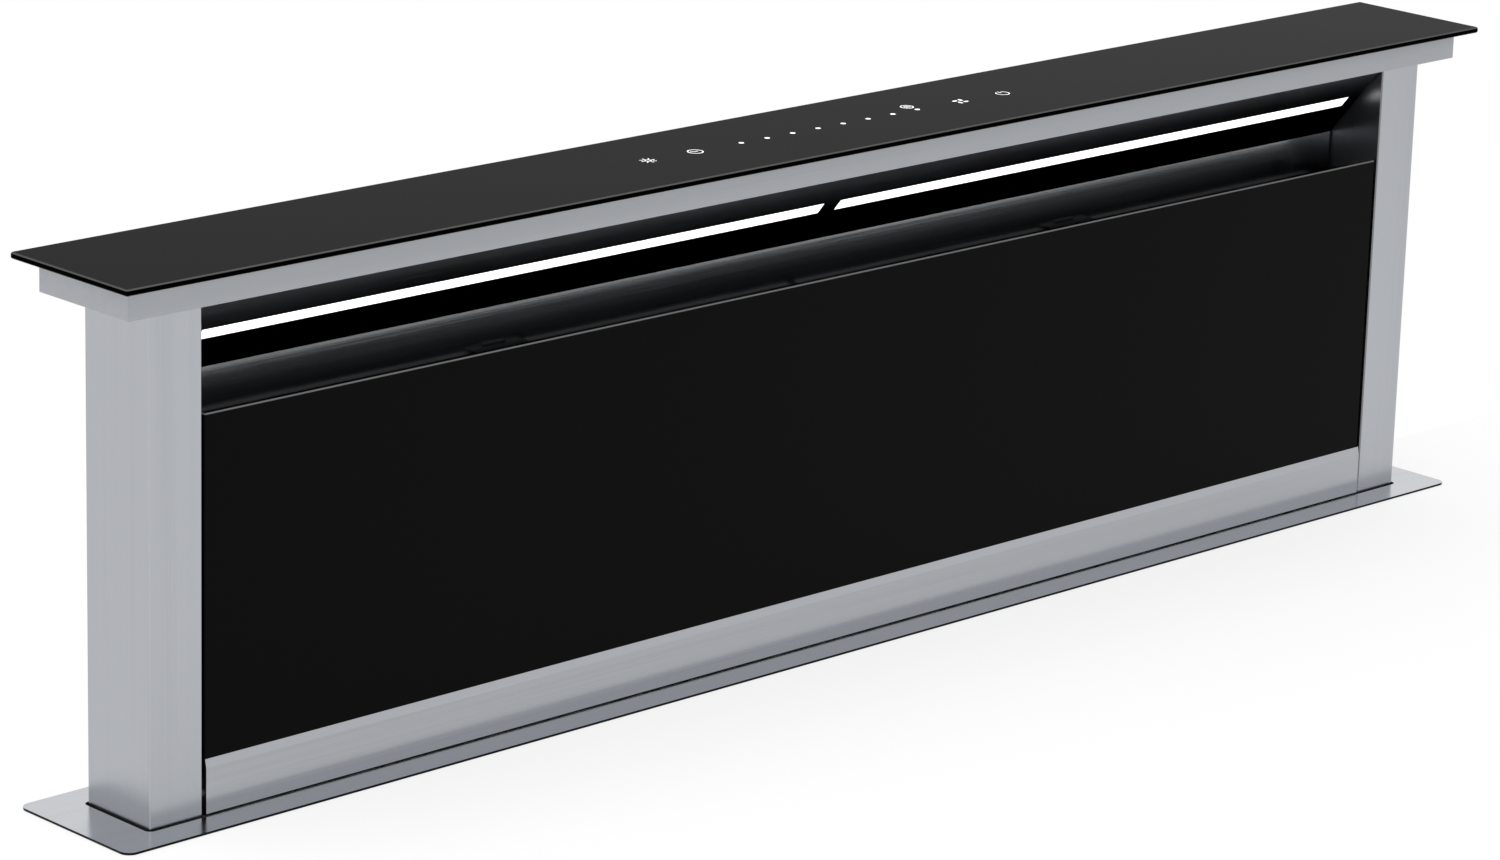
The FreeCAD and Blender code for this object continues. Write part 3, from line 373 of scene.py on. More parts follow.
def finishes(context):
    """Every finish of the vent, by the name that the rest of the file uses."""
    colours = context.scene.vent_colours
    steel = tuple(colours.steel)
    return {
        "steel_upright": brushed_steel("steel_upright_grain", steel, "Z", inside=COLUMN_INSIDE),
        # The level, band, hood and trim steels are lighter or darker copies of the upright steel:
        # painted light and shade.
        "steel_level": brushed_steel("steel_level_grain", tint(steel, 0.92), "X", 0.15),
        "steel_band": brushed_steel("steel_band_grain", tint(steel, 0.96), "X", 0.5),
        "steel_hood": brushed_steel("steel_hood_grain", tint(steel, 1.7), "X", 0.17, hood=True),
        # The trim's upright edge faces are painted near black: painted shade.
        "steel_trim": brushed_steel("steel_trim_grain", tint(steel, 1.2), "X", 0.2,
                                    edge=(0.01, 0.01, 0.011)),
        # The cap glass's upright edges lose nearly all colour: painted shade.
        "cap_glass": black_glass("cap_black_glass", tuple(colours.cap_glass), CAP_IOR, 0.07, 0.95),
        "glass": black_glass("panel_black_glass", tuple(colours.glass), PANEL_IOR, 0.13),
        "zinc": zinc_sheet("zinc_spangle", tuple(colours.zinc)),
        "black_paint": grained("satin_black_paint", (0.02, 0.02, 0.022), 0.0, 0.35, 0.5, 900, 0.15),
        "aluminium": grained("mill_aluminium", tuple(colours.aluminium), 1.0, 0.28, 0.42, 700, 0.08),
        "filter": grained("lacquered_aluminium", tuple(colours.filter), 0.5, 0.3, 0.45, 700, 0.08),
        "mesh": grained("bright_aluminium_mesh", tint(tuple(colours.filter), 1.4), 0.3, 0.3, 0.45,
                        700, 0.08),
        "moulding": grained("latch_moulding", tuple(colours.moulding), 0.0, 0.42, 0.58, 1500, 0.2),
        "black_moulding": grained("black_moulding", (0.018, 0.018, 0.019), 0.0, 0.38, 0.55, 1500, 0.2),
        "nylon": grained("natural_nylon", (0.72, 0.7, 0.64), 0.0, 0.35, 0.5, 600, 0.1),
        "turned": grained("turned_steel", (0.45, 0.45, 0.46), 1.0, 0.22, 0.4, 900, 0.1),
        "enamel": grained("motor_enamel", (0.06, 0.065, 0.07), 0.0, 0.3, 0.45, 500, 0.15),
        "board": circuit_board("circuit_board"),
        "lens": glowing("opal_lens", (1.0, 1.0, 1.0), 1.1),
        "print": glowing("white_print", (0.95, 0.95, 0.95), 0.55),
    }


FINISH_OF_NODES = {
    "steel_upright": ["column_left", "column_right", "back_cover"],
    "steel_level": ["panel_rail"],
    "steel_band": ["cap_band"],
    "steel_hood": ["inlet_hood"],
    "steel_trim": ["deck_trim"],
    "cap_glass": ["cap_glass"],
    "glass": ["front_glass"],
    "zinc": ["lower_front", "base_beam", "guide_rails", "chassis_front", "chassis_back",
             "chassis_bottom", "chassis_sides", "blower_casing", "blower_cover", "duct_adapter",
             "duct_collar", "worktop_clamps", "control_box", "control_lid"],
    "black_paint": ["filter_channel", "filter_rails", "drip_tray", "panel_carrier", "filter_keepers"],
    "filter": ["filter_frame_left", "filter_frame_right"],
    "mesh": ["filter_mesh_left", "filter_mesh_right"],
    "aluminium": ["light_channels", "damper_flap_front", "damper_flap_back"],
    "lens": ["light_lenses"],
    "moulding": ["latch_plates", "latch_slider_left", "latch_slider_right"],
    "black_moulding": ["hinge_blocks", "magnet_catches", "light_driver", "cable_gland", "impeller",
                       "hinge_pins"],
    "nylon": ["guide_shoes"],
    "board": ["touch_board", "light_boards"],
    "turned": ["cross_shaft", "pinions", "racks", "motor_shaft", "damper_pin", "screws",
               "levelling_feet", "shaft_bearings"],
    "enamel": ["lift_gearbox", "lift_motor", "blower_motor"],
}


# ---- meshes ----

def placed(name, data):
    """A new object in the scene."""
    made = bpy.data.objects.new(name, data)
    bpy.context.scene.collection.objects.link(made)
    return made


def closed_mesh(name, bm):
    """The mesh of a bmesh, with doubles merged and its faces outward."""
    bmesh.ops.remove_doubles(bm, verts=bm.verts, dist=1e-6)
    bmesh.ops.recalc_face_normals(bm, faces=bm.faces)
    mesh = bpy.data.meshes.new(name)
    bm.to_mesh(mesh)
    bm.free()
    return mesh


def piece(name, bm, material, body, slot, *stands_for):
    """Turns a bmesh into a finished piece that rides on a body."""
    mesh = closed_mesh(name, bm)
    mesh.materials.append(material)
    made = placed(name, mesh)
    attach(made, body)
    if stands_for:
        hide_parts(*stands_for)
    return made


def prism(bm, outline, z0, z1):
    """A closed slab over an outline of (x, y) points that turns left."""
    low = [bm.verts.new((x, y, z0)) for x, y in outline]
    high = [bm.verts.new((x, y, z1)) for x, y in outline]
    bm.faces.new(low[::-1])
    bm.faces.new(high)
    for i in range(len(outline)):
        j = (i + 1) % len(outline)
        bm.faces.new((low[i], low[j], high[j], high[i]))


def band_prism(bm, inner, outer, z0, z1, closed=True):
    """A slab between two outlines of the same count, such as a ring."""
    count = len(inner)
    rows = [[bm.verts.new((x, y, z)) for x, y in line]
            for line, z in ((inner, z0), (outer, z0), (outer, z1), (inner, z1))]
    for i in range(count if closed else count - 1):
        j = (i + 1) % count
        for a in range(4):
            b = (a + 1) % 4
            bm.faces.new((rows[a][i], rows[b][i], rows[b][j], rows[a][j]))
    if not closed:
        bm.faces.new([row[0] for row in rows][::-1])
        bm.faces.new([row[-1] for row in rows])


def lathe(bm, profile, centre, axis, count=48):
    """Turns a closed profile of (radius, distance along the axis) points round the Y or Z axis."""
    rows = []
    for i in range(count):
        c, d = math.cos(FULL_TURN * i / count), math.sin(FULL_TURN * i / count)
        if axis == "Y":
            row = [(centre[0] + r * c, centre[1] + a, centre[2] + r * d) for r, a in profile]
        else:
            row = [(centre[0] + r * c, centre[1] + r * d, centre[2] + a) for r, a in profile]
        rows.append([bm.verts.new(co) for co in row])
    for i in range(count):
        j = (i + 1) % count
        for a in range(len(profile)):
            b = (a + 1) % len(profile)
            bm.faces.new((rows[i][a], rows[i][b], rows[j][b], rows[j][a]))


def hexagon(x, y, corner):
    return circle(x, y, corner, 6)


def circle(x, y, radius, count, start=0.0, sweep=FULL_TURN):
    """Points round a circle, or along an arc of it, which then has both its ends."""
    steps = count if abs(sweep - FULL_TURN) < 1e-9 else count - 1
    angles = [start + sweep * i / steps for i in range(count)]
    return [(x + radius * math.cos(a), y + radius * math.sin(a)) for a in angles]


def bar(x, y, angle, near, far, width):
    """A rectangle that points away from (x, y) at an angle."""
    u, v = math.cos(angle), math.sin(angle)
    half = width / 2
    return [(x + u * a - v * b, y + v * a + u * b)
            for a, b in ((near, -half), (far, -half), (far, half), (near, half))]


# ---- operators ----

class VENT_OT_finish_frame(bpy.types.Operator):
    """Give every solid of the frame its finish"""
    bl_idname = "vent.finish_frame"
    bl_label = "Finish the solids"

    def execute(self, context):
        ready = finishes(context)
        left = set(NODES)
        for finish, names in FINISH_OF_NODES.items():
            for name in names:
                mesh = NODES[name].data
                mesh.materials.clear()
                mesh.materials.append(ready[finish])
                left.discard(name)
        if left:
            raise RuntimeError(f"no finish for {sorted(left)}")
        return {"FINISHED"}


class VENT_OT_touch_controls(bpy.types.Operator):
    """Print the touch symbols on the cap glass"""
    bl_idname = "vent.touch_controls"
    bl_label = "Touch symbols"

    def execute(self, context):
        sizes = context.scene.vent_sizes
        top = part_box("cap_glass")[1].z
        z0, z1 = top - 0.05 * MM, top + 0.03 * MM
        line = sizes.icon_line
        bm = bmesh.new()
        self.light(bm, LIGHT_X, 0.0, line, z0, z1)
        self.timer(bm, TIMER_X, 0.0, line, z0, z1)
        self.filter_reminder(bm, FILTER_X, FILTER_Y, line, z0, z1)
        self.fan(bm, FAN_X, 0.0, z0, z1)
        self.power(bm, POWER_X, 0.0, line, z0, z1)
        for i in range(SPEED_DOTS):
            dot = circle(FIRST_DOT_X + i * sizes.dot_pitch, 0, sizes.dot_radius, 24)
            prism(bm, dot, z0, z1)
        piece("touch_symbols", bm, finishes(context)["print"], "riser", "opal_plastic")
        return {"FINISHED"}

    def ring(self, bm, x, y, radius, line, z0, z1, start=0.0, sweep=FULL_TURN):
        inner = circle(x, y, radius - line, 40, start, sweep)
        outer = circle(x, y, radius, 40, start, sweep)
        band_prism(bm, inner, outer, z0, z1, abs(sweep - FULL_TURN) < 1e-9)

    def light(self, bm, x, y, line, z0, z1):
        self.ring(bm, x, y, 2.3 * MM, line, z0, z1)
        for i in range(8):
            prism(bm, bar(x, y, math.pi * i / 4, 3.0 * MM, 5.5 * MM, line), z0, z1)

    def timer(self, bm, x, y, line, z0, z1):
        self.ring(bm, x, y, 5.3 * MM, line, z0, z1)
        prism(bm, bar(x, y, math.pi * 0.85, -0.4 * MM, 3.6 * MM, line), z0, z1)
        prism(bm, bar(x, y, 0.1, 0.4 * MM, 2.6 * MM, line), z0, z1)

    def filter_reminder(self, bm, x, y, line, z0, z1):
        self.ring(bm, x, y, 4.6 * MM, line, z0, z1)
        for step in (-1.5, 0, 1.5):
            half = 2.6 if step == 0 else 2.0
            prism(bm, bar(x, y + step * MM, 0, -half * MM, half * MM, 0.6 * MM), z0, z1)

    def fan(self, bm, x, y, z0, z1):
        for i in range(4):
            turn = math.pi / 4 + math.pi * i / 2
            cx, cy = x + 3.7 * MM * math.cos(turn), y + 3.7 * MM * math.sin(turn)
            petal = []
            for u, v in circle(0, 0, 1, 20):
                a, b = u * 2.2 * MM, v * 1.2 * MM
                lean = turn + 0.75
                petal.append((cx + a * math.cos(lean) - b * math.sin(lean),
                              cy + a * math.sin(lean) + b * math.cos(lean)))
            prism(bm, petal, z0, z1)

    def power(self, bm, x, y, line, z0, z1):
        gap = 0.5
        self.ring(bm, x, y, 4.9 * MM, line, z0, z1, math.pi / 2 + gap, FULL_TURN - 2 * gap)
        prism(bm, bar(x, y, math.pi / 2, 1.2 * MM, 5.0 * MM, line), z0, z1)


class VENT_OT_cap_band(bpy.types.Operator):
    """Build the folded band under the cap glass, with its open corner seams"""
    bl_idname = "vent.cap_band"
    bl_label = "Cap band"

    def execute(self, context):
        low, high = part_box("cap_band")
        ready = finishes(context)
        seam = 0.35 * MM
        wall = 1.2 * MM
        bm = bmesh.new()
        self.slab(bm, low.x + seam, high.x - seam, low.y, low.y + wall, low.z, high.z)
        self.slab(bm, low.x + seam, high.x - seam, high.y - wall, high.y, low.z, high.z)
        self.slab(bm, low.x, low.x + wall, low.y + seam, high.y - seam, low.z, high.z)
        self.slab(bm, high.x - wall, high.x, low.y + seam, high.y - seam, low.z, high.z)
        self.slab(bm, low.x + wall, high.x - wall, low.y + wall, high.y - wall,
                  low.z + 0.1 * MM, low.z + wall)
        piece("cap_band_folded", bm, ready["steel_band"], "riser", "brushed_steel", "cap_band")
        return {"FINISHED"}

    def slab(self, bm, x0, x1, y0, y1, z0, z1):
        """A sheet with eased edges."""
        made = bmesh.ops.create_cube(bm, size=1.0)["verts"]
        centre = Vector(((x0 + x1) / 2, (y0 + y1) / 2, (z0 + z1) / 2))
        for v in made:
            v.co = centre + Vector((v.co.x * (x1 - x0), v.co.y * (y1 - y0), v.co.z * (z1 - z0)))
        edges = list({e for v in made for e in v.link_edges})
        bmesh.ops.bevel(bm, geom=edges, offset=0.25 * MM, segments=2, profile=0.5, affect="EDGES")


class VENT_OT_filter_mesh(bpy.types.Operator):
    """Weave the expanded metal of the grease filters"""
    bl_idname = "vent.filter_mesh"
    bl_label = "Filter mesh"

    def execute(self, context):
        sizes = context.scene.vent_sizes
        ready = finishes(context)
        tree = expanded_metal_tree()
        for side in ("left", "right"):
            low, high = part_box("filter_mesh_" + side)
            values = {"Width": high.x - low.x, "Height": high.z - low.z,
                      "Depth": high.y - low.y - MESH_THICKNESS,
                      "Pitch Long": sizes.mesh_pitch_x, "Pitch Short": sizes.mesh_pitch_z,
                      "Strand": sizes.strand, "Thickness": MESH_THICKNESS, "Finish": ready["mesh"]}
            corner = Vector((low.x, low.y + MESH_THICKNESS / 2, low.z))
            made = grown("filter_weave_" + side, tree, values, corner)
            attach(made, "riser")
            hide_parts("filter_mesh_" + side)
        return {"FINISHED"}


def link(tree, source, target):
    tree.links.new(source.outputs[0], target.inputs[0])


def finished(tree, last, finish):
    """Ends a geometry tree: real copies, in their finish."""
    solid = add(tree, "GeometryNodeRealizeInstances", {"Geometry": last.outputs[0]})
    painted = add(tree, "GeometryNodeSetMaterial", {"Geometry": solid.outputs[0], "Material": finish})
    link(tree, painted, tree.nodes.new("NodeGroupOutput"))
    return tree


def tree_inputs(tree, names):
    """Named inputs of a geometry tree: lengths, apart from the kinds named here."""
    kinds = {"Finish": "NodeSocketMaterial", "Count": "NodeSocketInt", "Geometry": "NodeSocketGeometry"}
    for name in names:
        tree.interface.new_socket(name=name, in_out="INPUT",
                                  socket_type=kinds.get(name, "NodeSocketFloat"))
    tree.interface.new_socket(name="Geometry", in_out="OUTPUT", socket_type="NodeSocketGeometry")
    return tree.nodes.new("NodeGroupInput").outputs


def expanded_metal_tree():
    """Two sheets of zigzag strands that meet at their knuckles."""
    tree = bpy.data.node_groups.new("expanded_metal", "GeometryNodeTree")
    given = tree_inputs(tree, ["Geometry", "Width", "Height", "Depth", "Pitch Long", "Pitch Short",
                               "Strand", "Thickness", "Finish"])
    half_long = maths(tree, "MULTIPLY", given["Pitch Long"], 0.5)
    half_short = maths(tree, "MULTIPLY", given["Pitch Short"], 0.5)
    steps = maths(tree, "FLOOR", maths(tree, "DIVIDE", given["Width"], half_long))
    rows = maths(tree, "FLOOR", maths(tree, "DIVIDE", given["Height"], half_short))
    line = add(tree, "GeometryNodeMeshLine", {"Count": steps, "Offset": vector(tree, half_long)})
    index = add(tree, "GeometryNodeInputIndex").outputs[0]
    odd = maths(tree, "MODULO", index, 2.0)
    lift = maths(tree, "MULTIPLY", odd, half_short)
    zigzag = add(tree, "GeometryNodeSetPosition", {"Geometry": line.outputs[0],
                                                   "Offset": vector(tree, 0.0, 0.0, lift)})
    curve = add(tree, "GeometryNodeMeshToCurve", {"Mesh": zigzag.outputs[0]})
    profile = add(tree, "GeometryNodeCurvePrimitiveQuadrilateral",
                  {"Width": given["Thickness"], "Height": given["Strand"]})
    strand = add(tree, "GeometryNodeCurveToMesh",
                 {"Curve": curve.outputs[0], "Profile Curve": profile.outputs[0], "Fill Caps": True})
    row_line = add(tree, "GeometryNodeMeshLine",
                   {"Count": rows, "Offset": vector(tree, 0.0, 0.0, half_short)})
    shifted = add(tree, "GeometryNodeSetPosition",
                  {"Geometry": row_line.outputs[0],
                   "Offset": vector(tree, maths(tree, "MULTIPLY", odd, half_long))})
    sheet = add(tree, "GeometryNodeInstanceOnPoints", {"Points": shifted.outputs[0],
                                                       "Instance": strand.outputs[0]})
    behind = add(tree, "GeometryNodeTransform", {"Geometry": sheet.outputs[0],
                                                 "Translation": vector(tree, 0.0, given["Depth"], 0.0)})
    both = tree.nodes.new("GeometryNodeJoinGeometry")
    link(tree, sheet, both)
    link(tree, behind, both)
    return finished(tree, both, given["Finish"])


def grown(name, tree, values, offset=Vector((0, 0, 0)), source=None):
    """The plain mesh that a geometry tree makes, moved to its place, as an object at the origin."""
    seed = placed(name + "_seed", source or bpy.data.meshes.new(name + "_seed"))
    modifier = seed.modifiers.new("grow", "NODES")
    modifier.node_group = tree
    for item in tree.interface.items_tree:
        if item.in_out == "INPUT" and item.name in values:
            modifier[item.identifier] = values[item.name]
    evaluated = seed.evaluated_get(bpy.context.evaluated_depsgraph_get())
    mesh = bpy.data.meshes.new_from_object(evaluated)
    bpy.data.objects.remove(seed)
    mesh.name = name
    for v in mesh.vertices:
        v.co += offset
    return placed(name, mesh)


def repeat_tree():
    """Copies of the given mesh, each turned one step further about the Y axis."""
    tree = bpy.data.node_groups.new("repeat", "GeometryNodeTree")
    given = tree_inputs(tree, ["Geometry", "Count", "Turn", "Finish"])
    line = add(tree, "GeometryNodeMeshLine", {"Count": given["Count"], "Offset": vector(tree)})
    index = add(tree, "GeometryNodeInputIndex").outputs[0]
    turn = vector(tree, 0.0, maths(tree, "MULTIPLY", index, given["Turn"]), 0.0)
    euler = add(tree, "FunctionNodeEulerToRotation", {"Euler": turn})
    copies = add(tree, "GeometryNodeInstanceOnPoints",
                 {"Points": line.outputs[0], "Instance": given["Geometry"],
                  "Rotation": euler.outputs[0]})
    return finished(tree, copies, given["Finish"])


def screw_tree():
    """A hexagon head on a washer at each point of the given mesh, facing out along Y."""
    tree = bpy.data.node_groups.new("screw_heads", "GeometryNodeTree")
    given = tree_inputs(tree, ["Geometry", "Head Radius", "Head Height", "Washer Radius",
                               "Washer Height", "Finish"])
    head = add(tree, "GeometryNodeMeshCylinder", {"Vertices": 6, "Radius": given["Head Radius"],
                                                  "Depth": given["Head Height"]})
    washer = add(tree, "GeometryNodeMeshCylinder", {"Vertices": 32, "Radius": given["Washer Radius"],
                                                    "Depth": given["Washer Height"]})
    place = add(tree, "GeometryNodeInputPosition").outputs[0]
    side = maths(tree, "SIGN", axes_of(tree, place)["Y"])
    upright = add(tree, "FunctionNodeEulerToRotation", {"Euler": (math.pi / 2, 0, 0)}).outputs[0]
    joined = tree.nodes.new("GeometryNodeJoinGeometry")
    for shape, height in ((head, given["Head Height"]), (washer, given["Washer Height"])):
        out = maths(tree, "MULTIPLY", maths(tree, "MULTIPLY", height, 0.5), side)
        moved = add(tree, "GeometryNodeSetPosition", {"Geometry": given["Geometry"],
                                                      "Offset": vector(tree, 0.0, out, 0.0)})
        copies = add(tree, "GeometryNodeInstanceOnPoints", {"Points": moved.outputs[0],
                                                            "Instance": shape.outputs[0],
                                                            "Rotation": upright})
        link(tree, copies, joined)
    return finished(tree, joined, given["Finish"])


class VENT_OT_blower_wheel(bpy.types.Operator):
    """Fit the blower wheel with its full set of blades"""
    bl_idname = "vent.blower_wheel"
    bl_label = "Blower wheel"

    def execute(self, context):
        finish = finishes(context)["black_moulding"]
        low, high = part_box("impeller")
        axis = Vector(((low.x + high.x) / 2, 0, (low.z + high.z) / 2))
        rim = (high.x - low.x) / 2
        eye = rim - 16 * MM
        shaft = 4.2 * MM
        bm = bmesh.new()
        disc = [(shaft, low.y), (rim, low.y), (rim, low.y + 2 * MM), (14 * MM, low.y + 2 * MM),
                (13 * MM, low.y + 34 * MM), (shaft, low.y + 34 * MM)]
        lathe(bm, disc, axis, "Y", 96)
        ring = [(eye, high.y - 3 * MM), (rim, high.y - 3 * MM), (rim, high.y), (eye, high.y)]
        lathe(bm, ring, axis, "Y", 96)
        piece("wheel_plates", bm, finish, "blower_wheel", "black_plastic", "impeller")
        count = context.scene.vent_sizes.blades
        blade = closed_mesh("one_blade", self.blade(eye, rim, low.y + 2 * MM, high.y - 3 * MM))
        values = {"Count": count, "Turn": FULL_TURN / count, "Finish": finish}
        made = grown("wheel_blades", repeat_tree(), values, axis, blade)
        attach(made, "blower_wheel")
        return {"FINISHED"}

    def blade(self, eye, rim, y0, y1):
        """One forward-curved blade at the top of the wheel."""
        depth = rim - eye
        line = []
        for i in range(7):
            t = i / 6
            line.append((depth * (0.1 - 0.75 * t * (1 - t) + 0.12 * t),
                         eye + depth * (0.03 + 0.92 * t)))
        thick = 0.9 * MM
        other = [(u + thick, v) for u, v in line]
        bm = bmesh.new()
        rows = [[bm.verts.new((u, y, v)) for u, v in line + other[::-1]] for y in (y0, y1)]
        count = len(rows[0])
        for i in range(count):
            j = (i + 1) % count
            bm.faces.new((rows[0][i], rows[0][j], rows[1][j], rows[1][i]))
        for row in rows:
            for i in range(len(line) - 1):
                bm.faces.new((row[i], row[i + 1], row[count - 2 - i], row[count - 1 - i]))
        return bm


class VENT_OT_fasteners(bpy.types.Operator):
    """Put a washer under each screw's head, and thread the levelling feet"""
    bl_idname = "vent.fasteners"
    bl_label = "Fasteners and feet"

    def execute(self, context):
        ready = finishes(context)
        points = self.screw_points()
        mesh = bpy.data.meshes.new("screw_points")
        mesh.from_pydata(points, [], [])
        values = {"Head Radius": 4.04 * MM, "Head Height": 2.8 * MM, "Washer Radius": 5.6 * MM,
                  "Washer Height": 0.9 * MM, "Finish": ready["turned"]}
        made = grown("screw_heads", screw_tree(), values, source=mesh)
        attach(made, "chassis")
        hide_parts("screws")
        low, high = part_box("levelling_feet")
        bm = bmesh.new()
        reach = high.x - FOOT_RADIUS
        for x in (-reach, reach):
            self.foot(bm, x, low.z, high.z)
        piece("threaded_feet", bm, ready["turned"], "chassis", "machined_steel", "levelling_feet")
        return {"FINISHED"}

    def screw_points(self):
        """The foot of each screw's head, on the chassis's long walls and on the motor's face."""
        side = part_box("chassis_sides")[1].x - SCREW_EDGE
        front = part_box("chassis_front")[0].y
        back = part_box("chassis_back")[1].y
        points = []
        for z in SCREW_ROWS:
            for x in (-side, side):
                points += [(x, front, z), (x, back, z)]
        low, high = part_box("blower_motor")
        x, z = (low.x + high.x) / 2, (low.z + high.z) / 2
        step = ((high.x - low.x) / 2 - SCREW_EDGE) / math.sqrt(2)
        for u, v in ((1, 1), (-1, 1), (-1, -1), (1, -1)):
            points.append((x + step * u, low.y, z + step * v))
        return points

    def foot(self, bm, x, z0, z1):
        """A round pad, a threaded stem and its hexagon nut."""
        core = 1 * MM
        pad = FOOT_RADIUS
        profile = [(core, 0), (pad - 0.8 * MM, 0), (pad, 0.8 * MM), (pad, 3 * MM),
                   (12 * MM, 5.5 * MM), (6.5 * MM, 6 * MM)]
        at = 6 * MM
        while at < z1 - z0 - 1.2 * MM:
            profile += [(4.4 * MM, at + 0.3 * MM), (5 * MM, at + 0.75 * MM), (4.4 * MM, at + 1.2 * MM)]
            at += 1.2 * MM
        profile += [(4.4 * MM, z1 - z0), (core, z1 - z0)]
        lathe(bm, profile, (x, 0, z0), "Z", 32)
        prism(bm, hexagon(x, 0, 9.2 * MM), z1 - 7 * MM, z1 - 0.1 * MM)


class VENT_OT_motor(bpy.types.Operator):
    """Rib the blower motor's can and add the boss of its bearing"""
    bl_idname = "vent.motor"
    bl_label = "Motor ribs"

    def execute(self, context):
        finish = finishes(context)["enamel"]
        low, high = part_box("blower_motor")
        axis = Vector(((low.x + high.x) / 2, 0, (low.z + high.z) / 2))
        radius = (high.x - low.x) / 2
        bm = bmesh.new()
        half = 0.8 * MM
        outline = [(-half, low.y + 7 * MM), (half, low.y + 7 * MM), (half, high.y - 4 * MM),
                   (-half, high.y - 4 * MM)]
        prism(bm, outline, radius - 0.4 * MM, radius + 2 * MM)
        values = {"Count": MOTOR_RIBS, "Turn": FULL_TURN / MOTOR_RIBS, "Finish": finish}
        ribs = grown("motor_ribs", repeat_tree(), values, axis, closed_mesh("one_rib", bm))
        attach(ribs, "chassis")
        bm = bmesh.new()
        boss = [(1 * MM, 0.2 * MM), (17 * MM, 0.2 * MM), (15.5 * MM, -2.4 * MM), (9 * MM, -2.4 * MM),
                (8 * MM, -1.4 * MM), (1 * MM, -1.4 * MM)]
        lathe(bm, boss, (axis.x, low.y, axis.z), "Y", 48)
        piece("motor_boss", bm, finish, "chassis", "motor_paint")
        return {"FINISHED"}


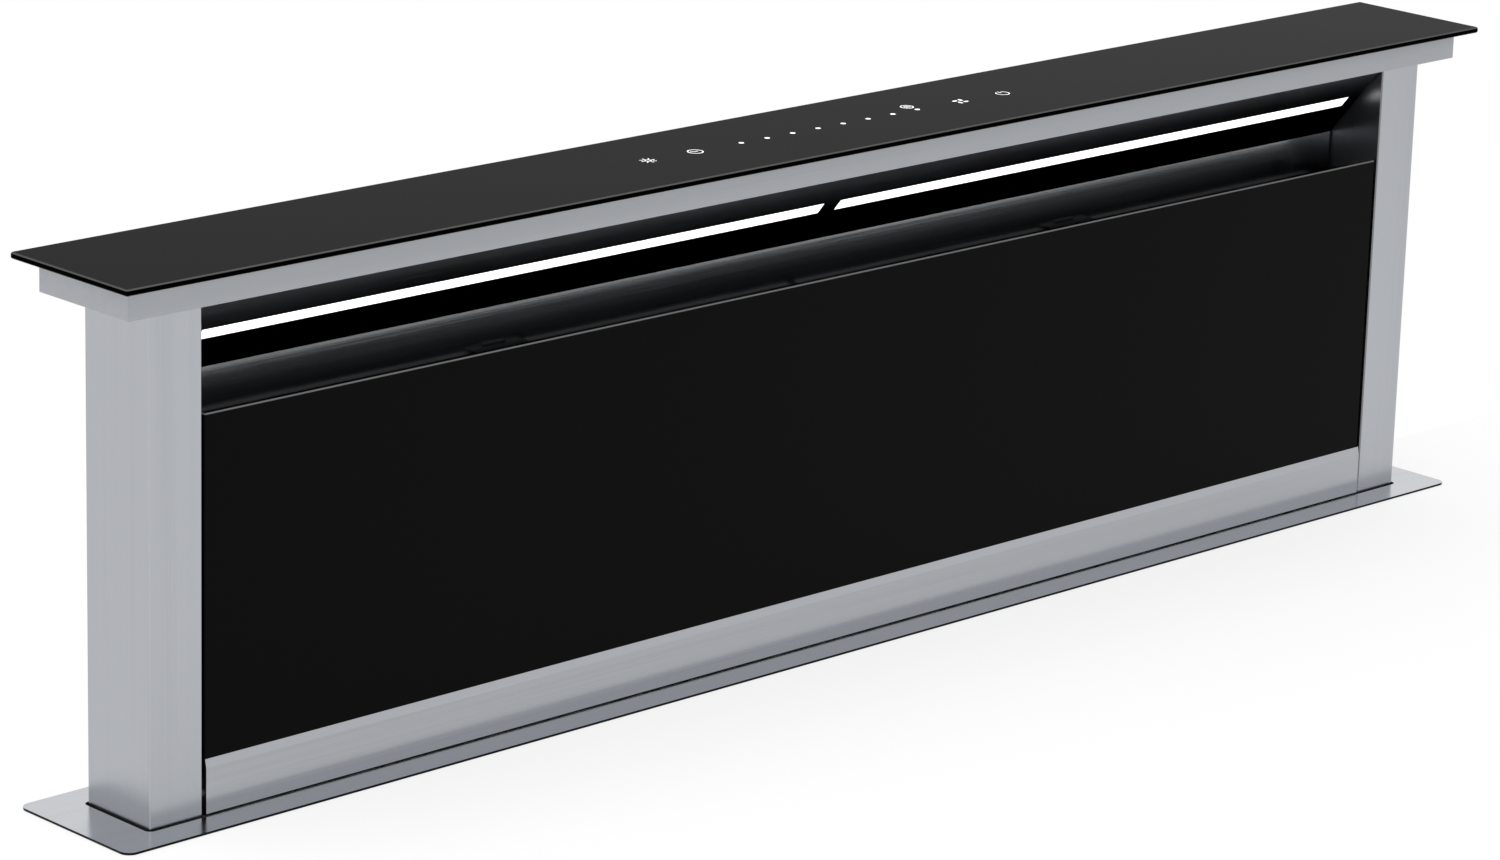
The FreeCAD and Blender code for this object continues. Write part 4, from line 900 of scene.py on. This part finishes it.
class VENT_OT_studio(bpy.types.Operator):
    """Set up the floor at worktop height, the lamps, the surroundings and the camera"""
    bl_idname = "vent.studio"
    bl_label = "Studio"

    def execute(self, context):
        self.floor()
        self.surroundings(context)
        self.lamps(context)
        self.camera(context)
        context.scene.view_settings.view_transform = "Standard"
        return {"FINISHED"}

    def floor(self):
        """A pale floor at worktop height, before the vent and beside it."""
        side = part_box("chassis_sides")[1].x + 2 * MM
        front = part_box("chassis_front")[0].y - 2 * MM
        bm = bmesh.new()
        for x0, x1, y0, y1 in ((-FLOOR_REACH, FLOOR_REACH, -FLOOR_REACH, front),
                               (-FLOOR_REACH, -side, front, FLOOR_BACK),
                               (side, FLOOR_REACH, front, FLOOR_BACK)):
            corners = ((x0, y0), (x1, y0), (x1, y1), (x0, y1))
            bm.faces.new([bm.verts.new((x, y, FLOOR_TOP)) for x, y in corners])
        mesh = bpy.data.meshes.new("floor")
        bm.to_mesh(mesh)
        bm.free()
        mesh.materials.append(self.floor_finish())
        made = placed("floor", mesh)

    def shown(self, tree):
        """1 for the rays that see the background: the camera's, and those of metal and glass."""
        rays = add(tree, "ShaderNodeLightPath").outputs
        mirror = maths(tree, "MAXIMUM", rays["Is Glossy Ray"], rays["Is Transmission Ray"])
        return maths(tree, "MAXIMUM", rays["Is Camera Ray"], mirror)

    def floor_finish(self):
        """A pale matt floor that shows near white, with the shadow kept."""
        made, tree = new_material("pale_floor")
        matt = add(tree, "ShaderNodeBsdfDiffuse", {"Color": (0.82, 0.82, 0.82, 1)})
        white = add(tree, "ShaderNodeEmission", {"Color": (1, 1, 1, 1), "Strength": 1.0})
        clear = add(tree, "ShaderNodeBsdfTransparent")
        whiter = maths(tree, "MULTIPLY", self.shown(tree), FLOOR_WHITE)
        above = add(tree, "ShaderNodeMixShader", {0: whiter, 1: matt.outputs[0], 2: white.outputs[0]})
        below = add(tree, "ShaderNodeNewGeometry").outputs["Backfacing"]
        surface = add(tree, "ShaderNodeMixShader", {0: below, 1: above.outputs[0], 2: clear.outputs[0]})
        add(tree, "ShaderNodeOutputMaterial", {"Surface": surface.outputs[0]})
        return made

    def surroundings(self, context):
        """White all round for the camera, metal and glass, and the ambient strength for all else."""
        world = bpy.data.worlds.new("soft_surroundings")
        context.scene.world = world
        world.use_nodes = True
        tree = world.node_tree
        tree.nodes.clear()
        strength = span(tree, self.shown(tree), context.scene.vent_studio.ambient, 1.0)
        light = add(tree, "ShaderNodeBackground", {"Color": (1, 1, 1, 1), "Strength": strength})
        add(tree, "ShaderNodeOutputWorld", {"Surface": light.outputs[0]})

    def lamps(self, context):
        power = context.scene.vent_studio.lamp
        for name, spot, size, share in LAMPS:
            data = bpy.data.lights.new(name, "AREA")
            data.energy = power * share
            data.size = size
            lamp = placed(name, data)
            lamp.location = spot
            aim = Vector(LAMP_AIM) - Vector(spot)
            lamp.rotation_euler = aim.to_track_quat("-Z", "Y").to_euler()

    def camera(self, context):
        data = bpy.data.cameras.new("camera")
        data.lens = context.scene.vent_studio.lens
        data.sensor_width = 36.0
        data.clip_end = 100.0
        made = placed("camera", data)
        made.location = CAMERA_PLACE
        right = Vector(CAMERA_RIGHT)
        back = -Vector(CAMERA_FORWARD)
        up = back.cross(right)
        made.rotation_mode = "QUATERNION"
        columns = (right, up, back)
        turn = Matrix([[c[i] for c in columns] for i in range(3)])
        made.rotation_quaternion = turn.to_quaternion()
        context.scene.camera = made


class VENT_PT_sidebar(bpy.types.Panel):
    """The vent's settings and the operators that dress it"""
    bl_idname = "VENT_PT_sidebar"
    bl_label = "Vent"
    bl_space_type = "VIEW_3D"
    bl_region_type = "UI"
    bl_category = "Vent"

    def draw(self, context):
        for group in ("vent_sizes", "vent_colours", "vent_studio"):
            settings = getattr(context.scene, group)
            box = self.layout.box()
            for name in settings.bl_rna.properties.keys():
                if name not in ("rna_type", "name"):
                    box.prop(settings, name)
        for operator in OPERATORS:
            self.layout.operator(operator.bl_idname)


GROUPS = {"vent_sizes": VentSizes, "vent_colours": VentColours, "vent_studio": VentStudio}
OPERATORS = (VENT_OT_finish_frame, VENT_OT_touch_controls, VENT_OT_cap_band, VENT_OT_filter_mesh,
             VENT_OT_blower_wheel, VENT_OT_fasteners, VENT_OT_motor, VENT_OT_studio)


def register():
    for name, group in GROUPS.items():
        bpy.utils.register_class(group)
        setattr(bpy.types.Scene, name, bpy.props.PointerProperty(type=group))
    for operator in OPERATORS:
        bpy.utils.register_class(operator)
    bpy.utils.register_class(VENT_PT_sidebar)


def unregister():
    bpy.utils.unregister_class(VENT_PT_sidebar)
    for operator in reversed(OPERATORS):
        bpy.utils.unregister_class(operator)
    for name, group in GROUPS.items():
        delattr(bpy.types.Scene, name)
        bpy.utils.unregister_class(group)


def main():
    register()
    bpy.ops.vent.finish_frame()
    bpy.ops.vent.touch_controls()
    bpy.ops.vent.cap_band()
    bpy.ops.vent.filter_mesh()
    bpy.ops.vent.blower_wheel()
    bpy.ops.vent.fasteners()
    bpy.ops.vent.motor()
    bpy.ops.vent.studio()


if __name__ == "__main__":
    main()
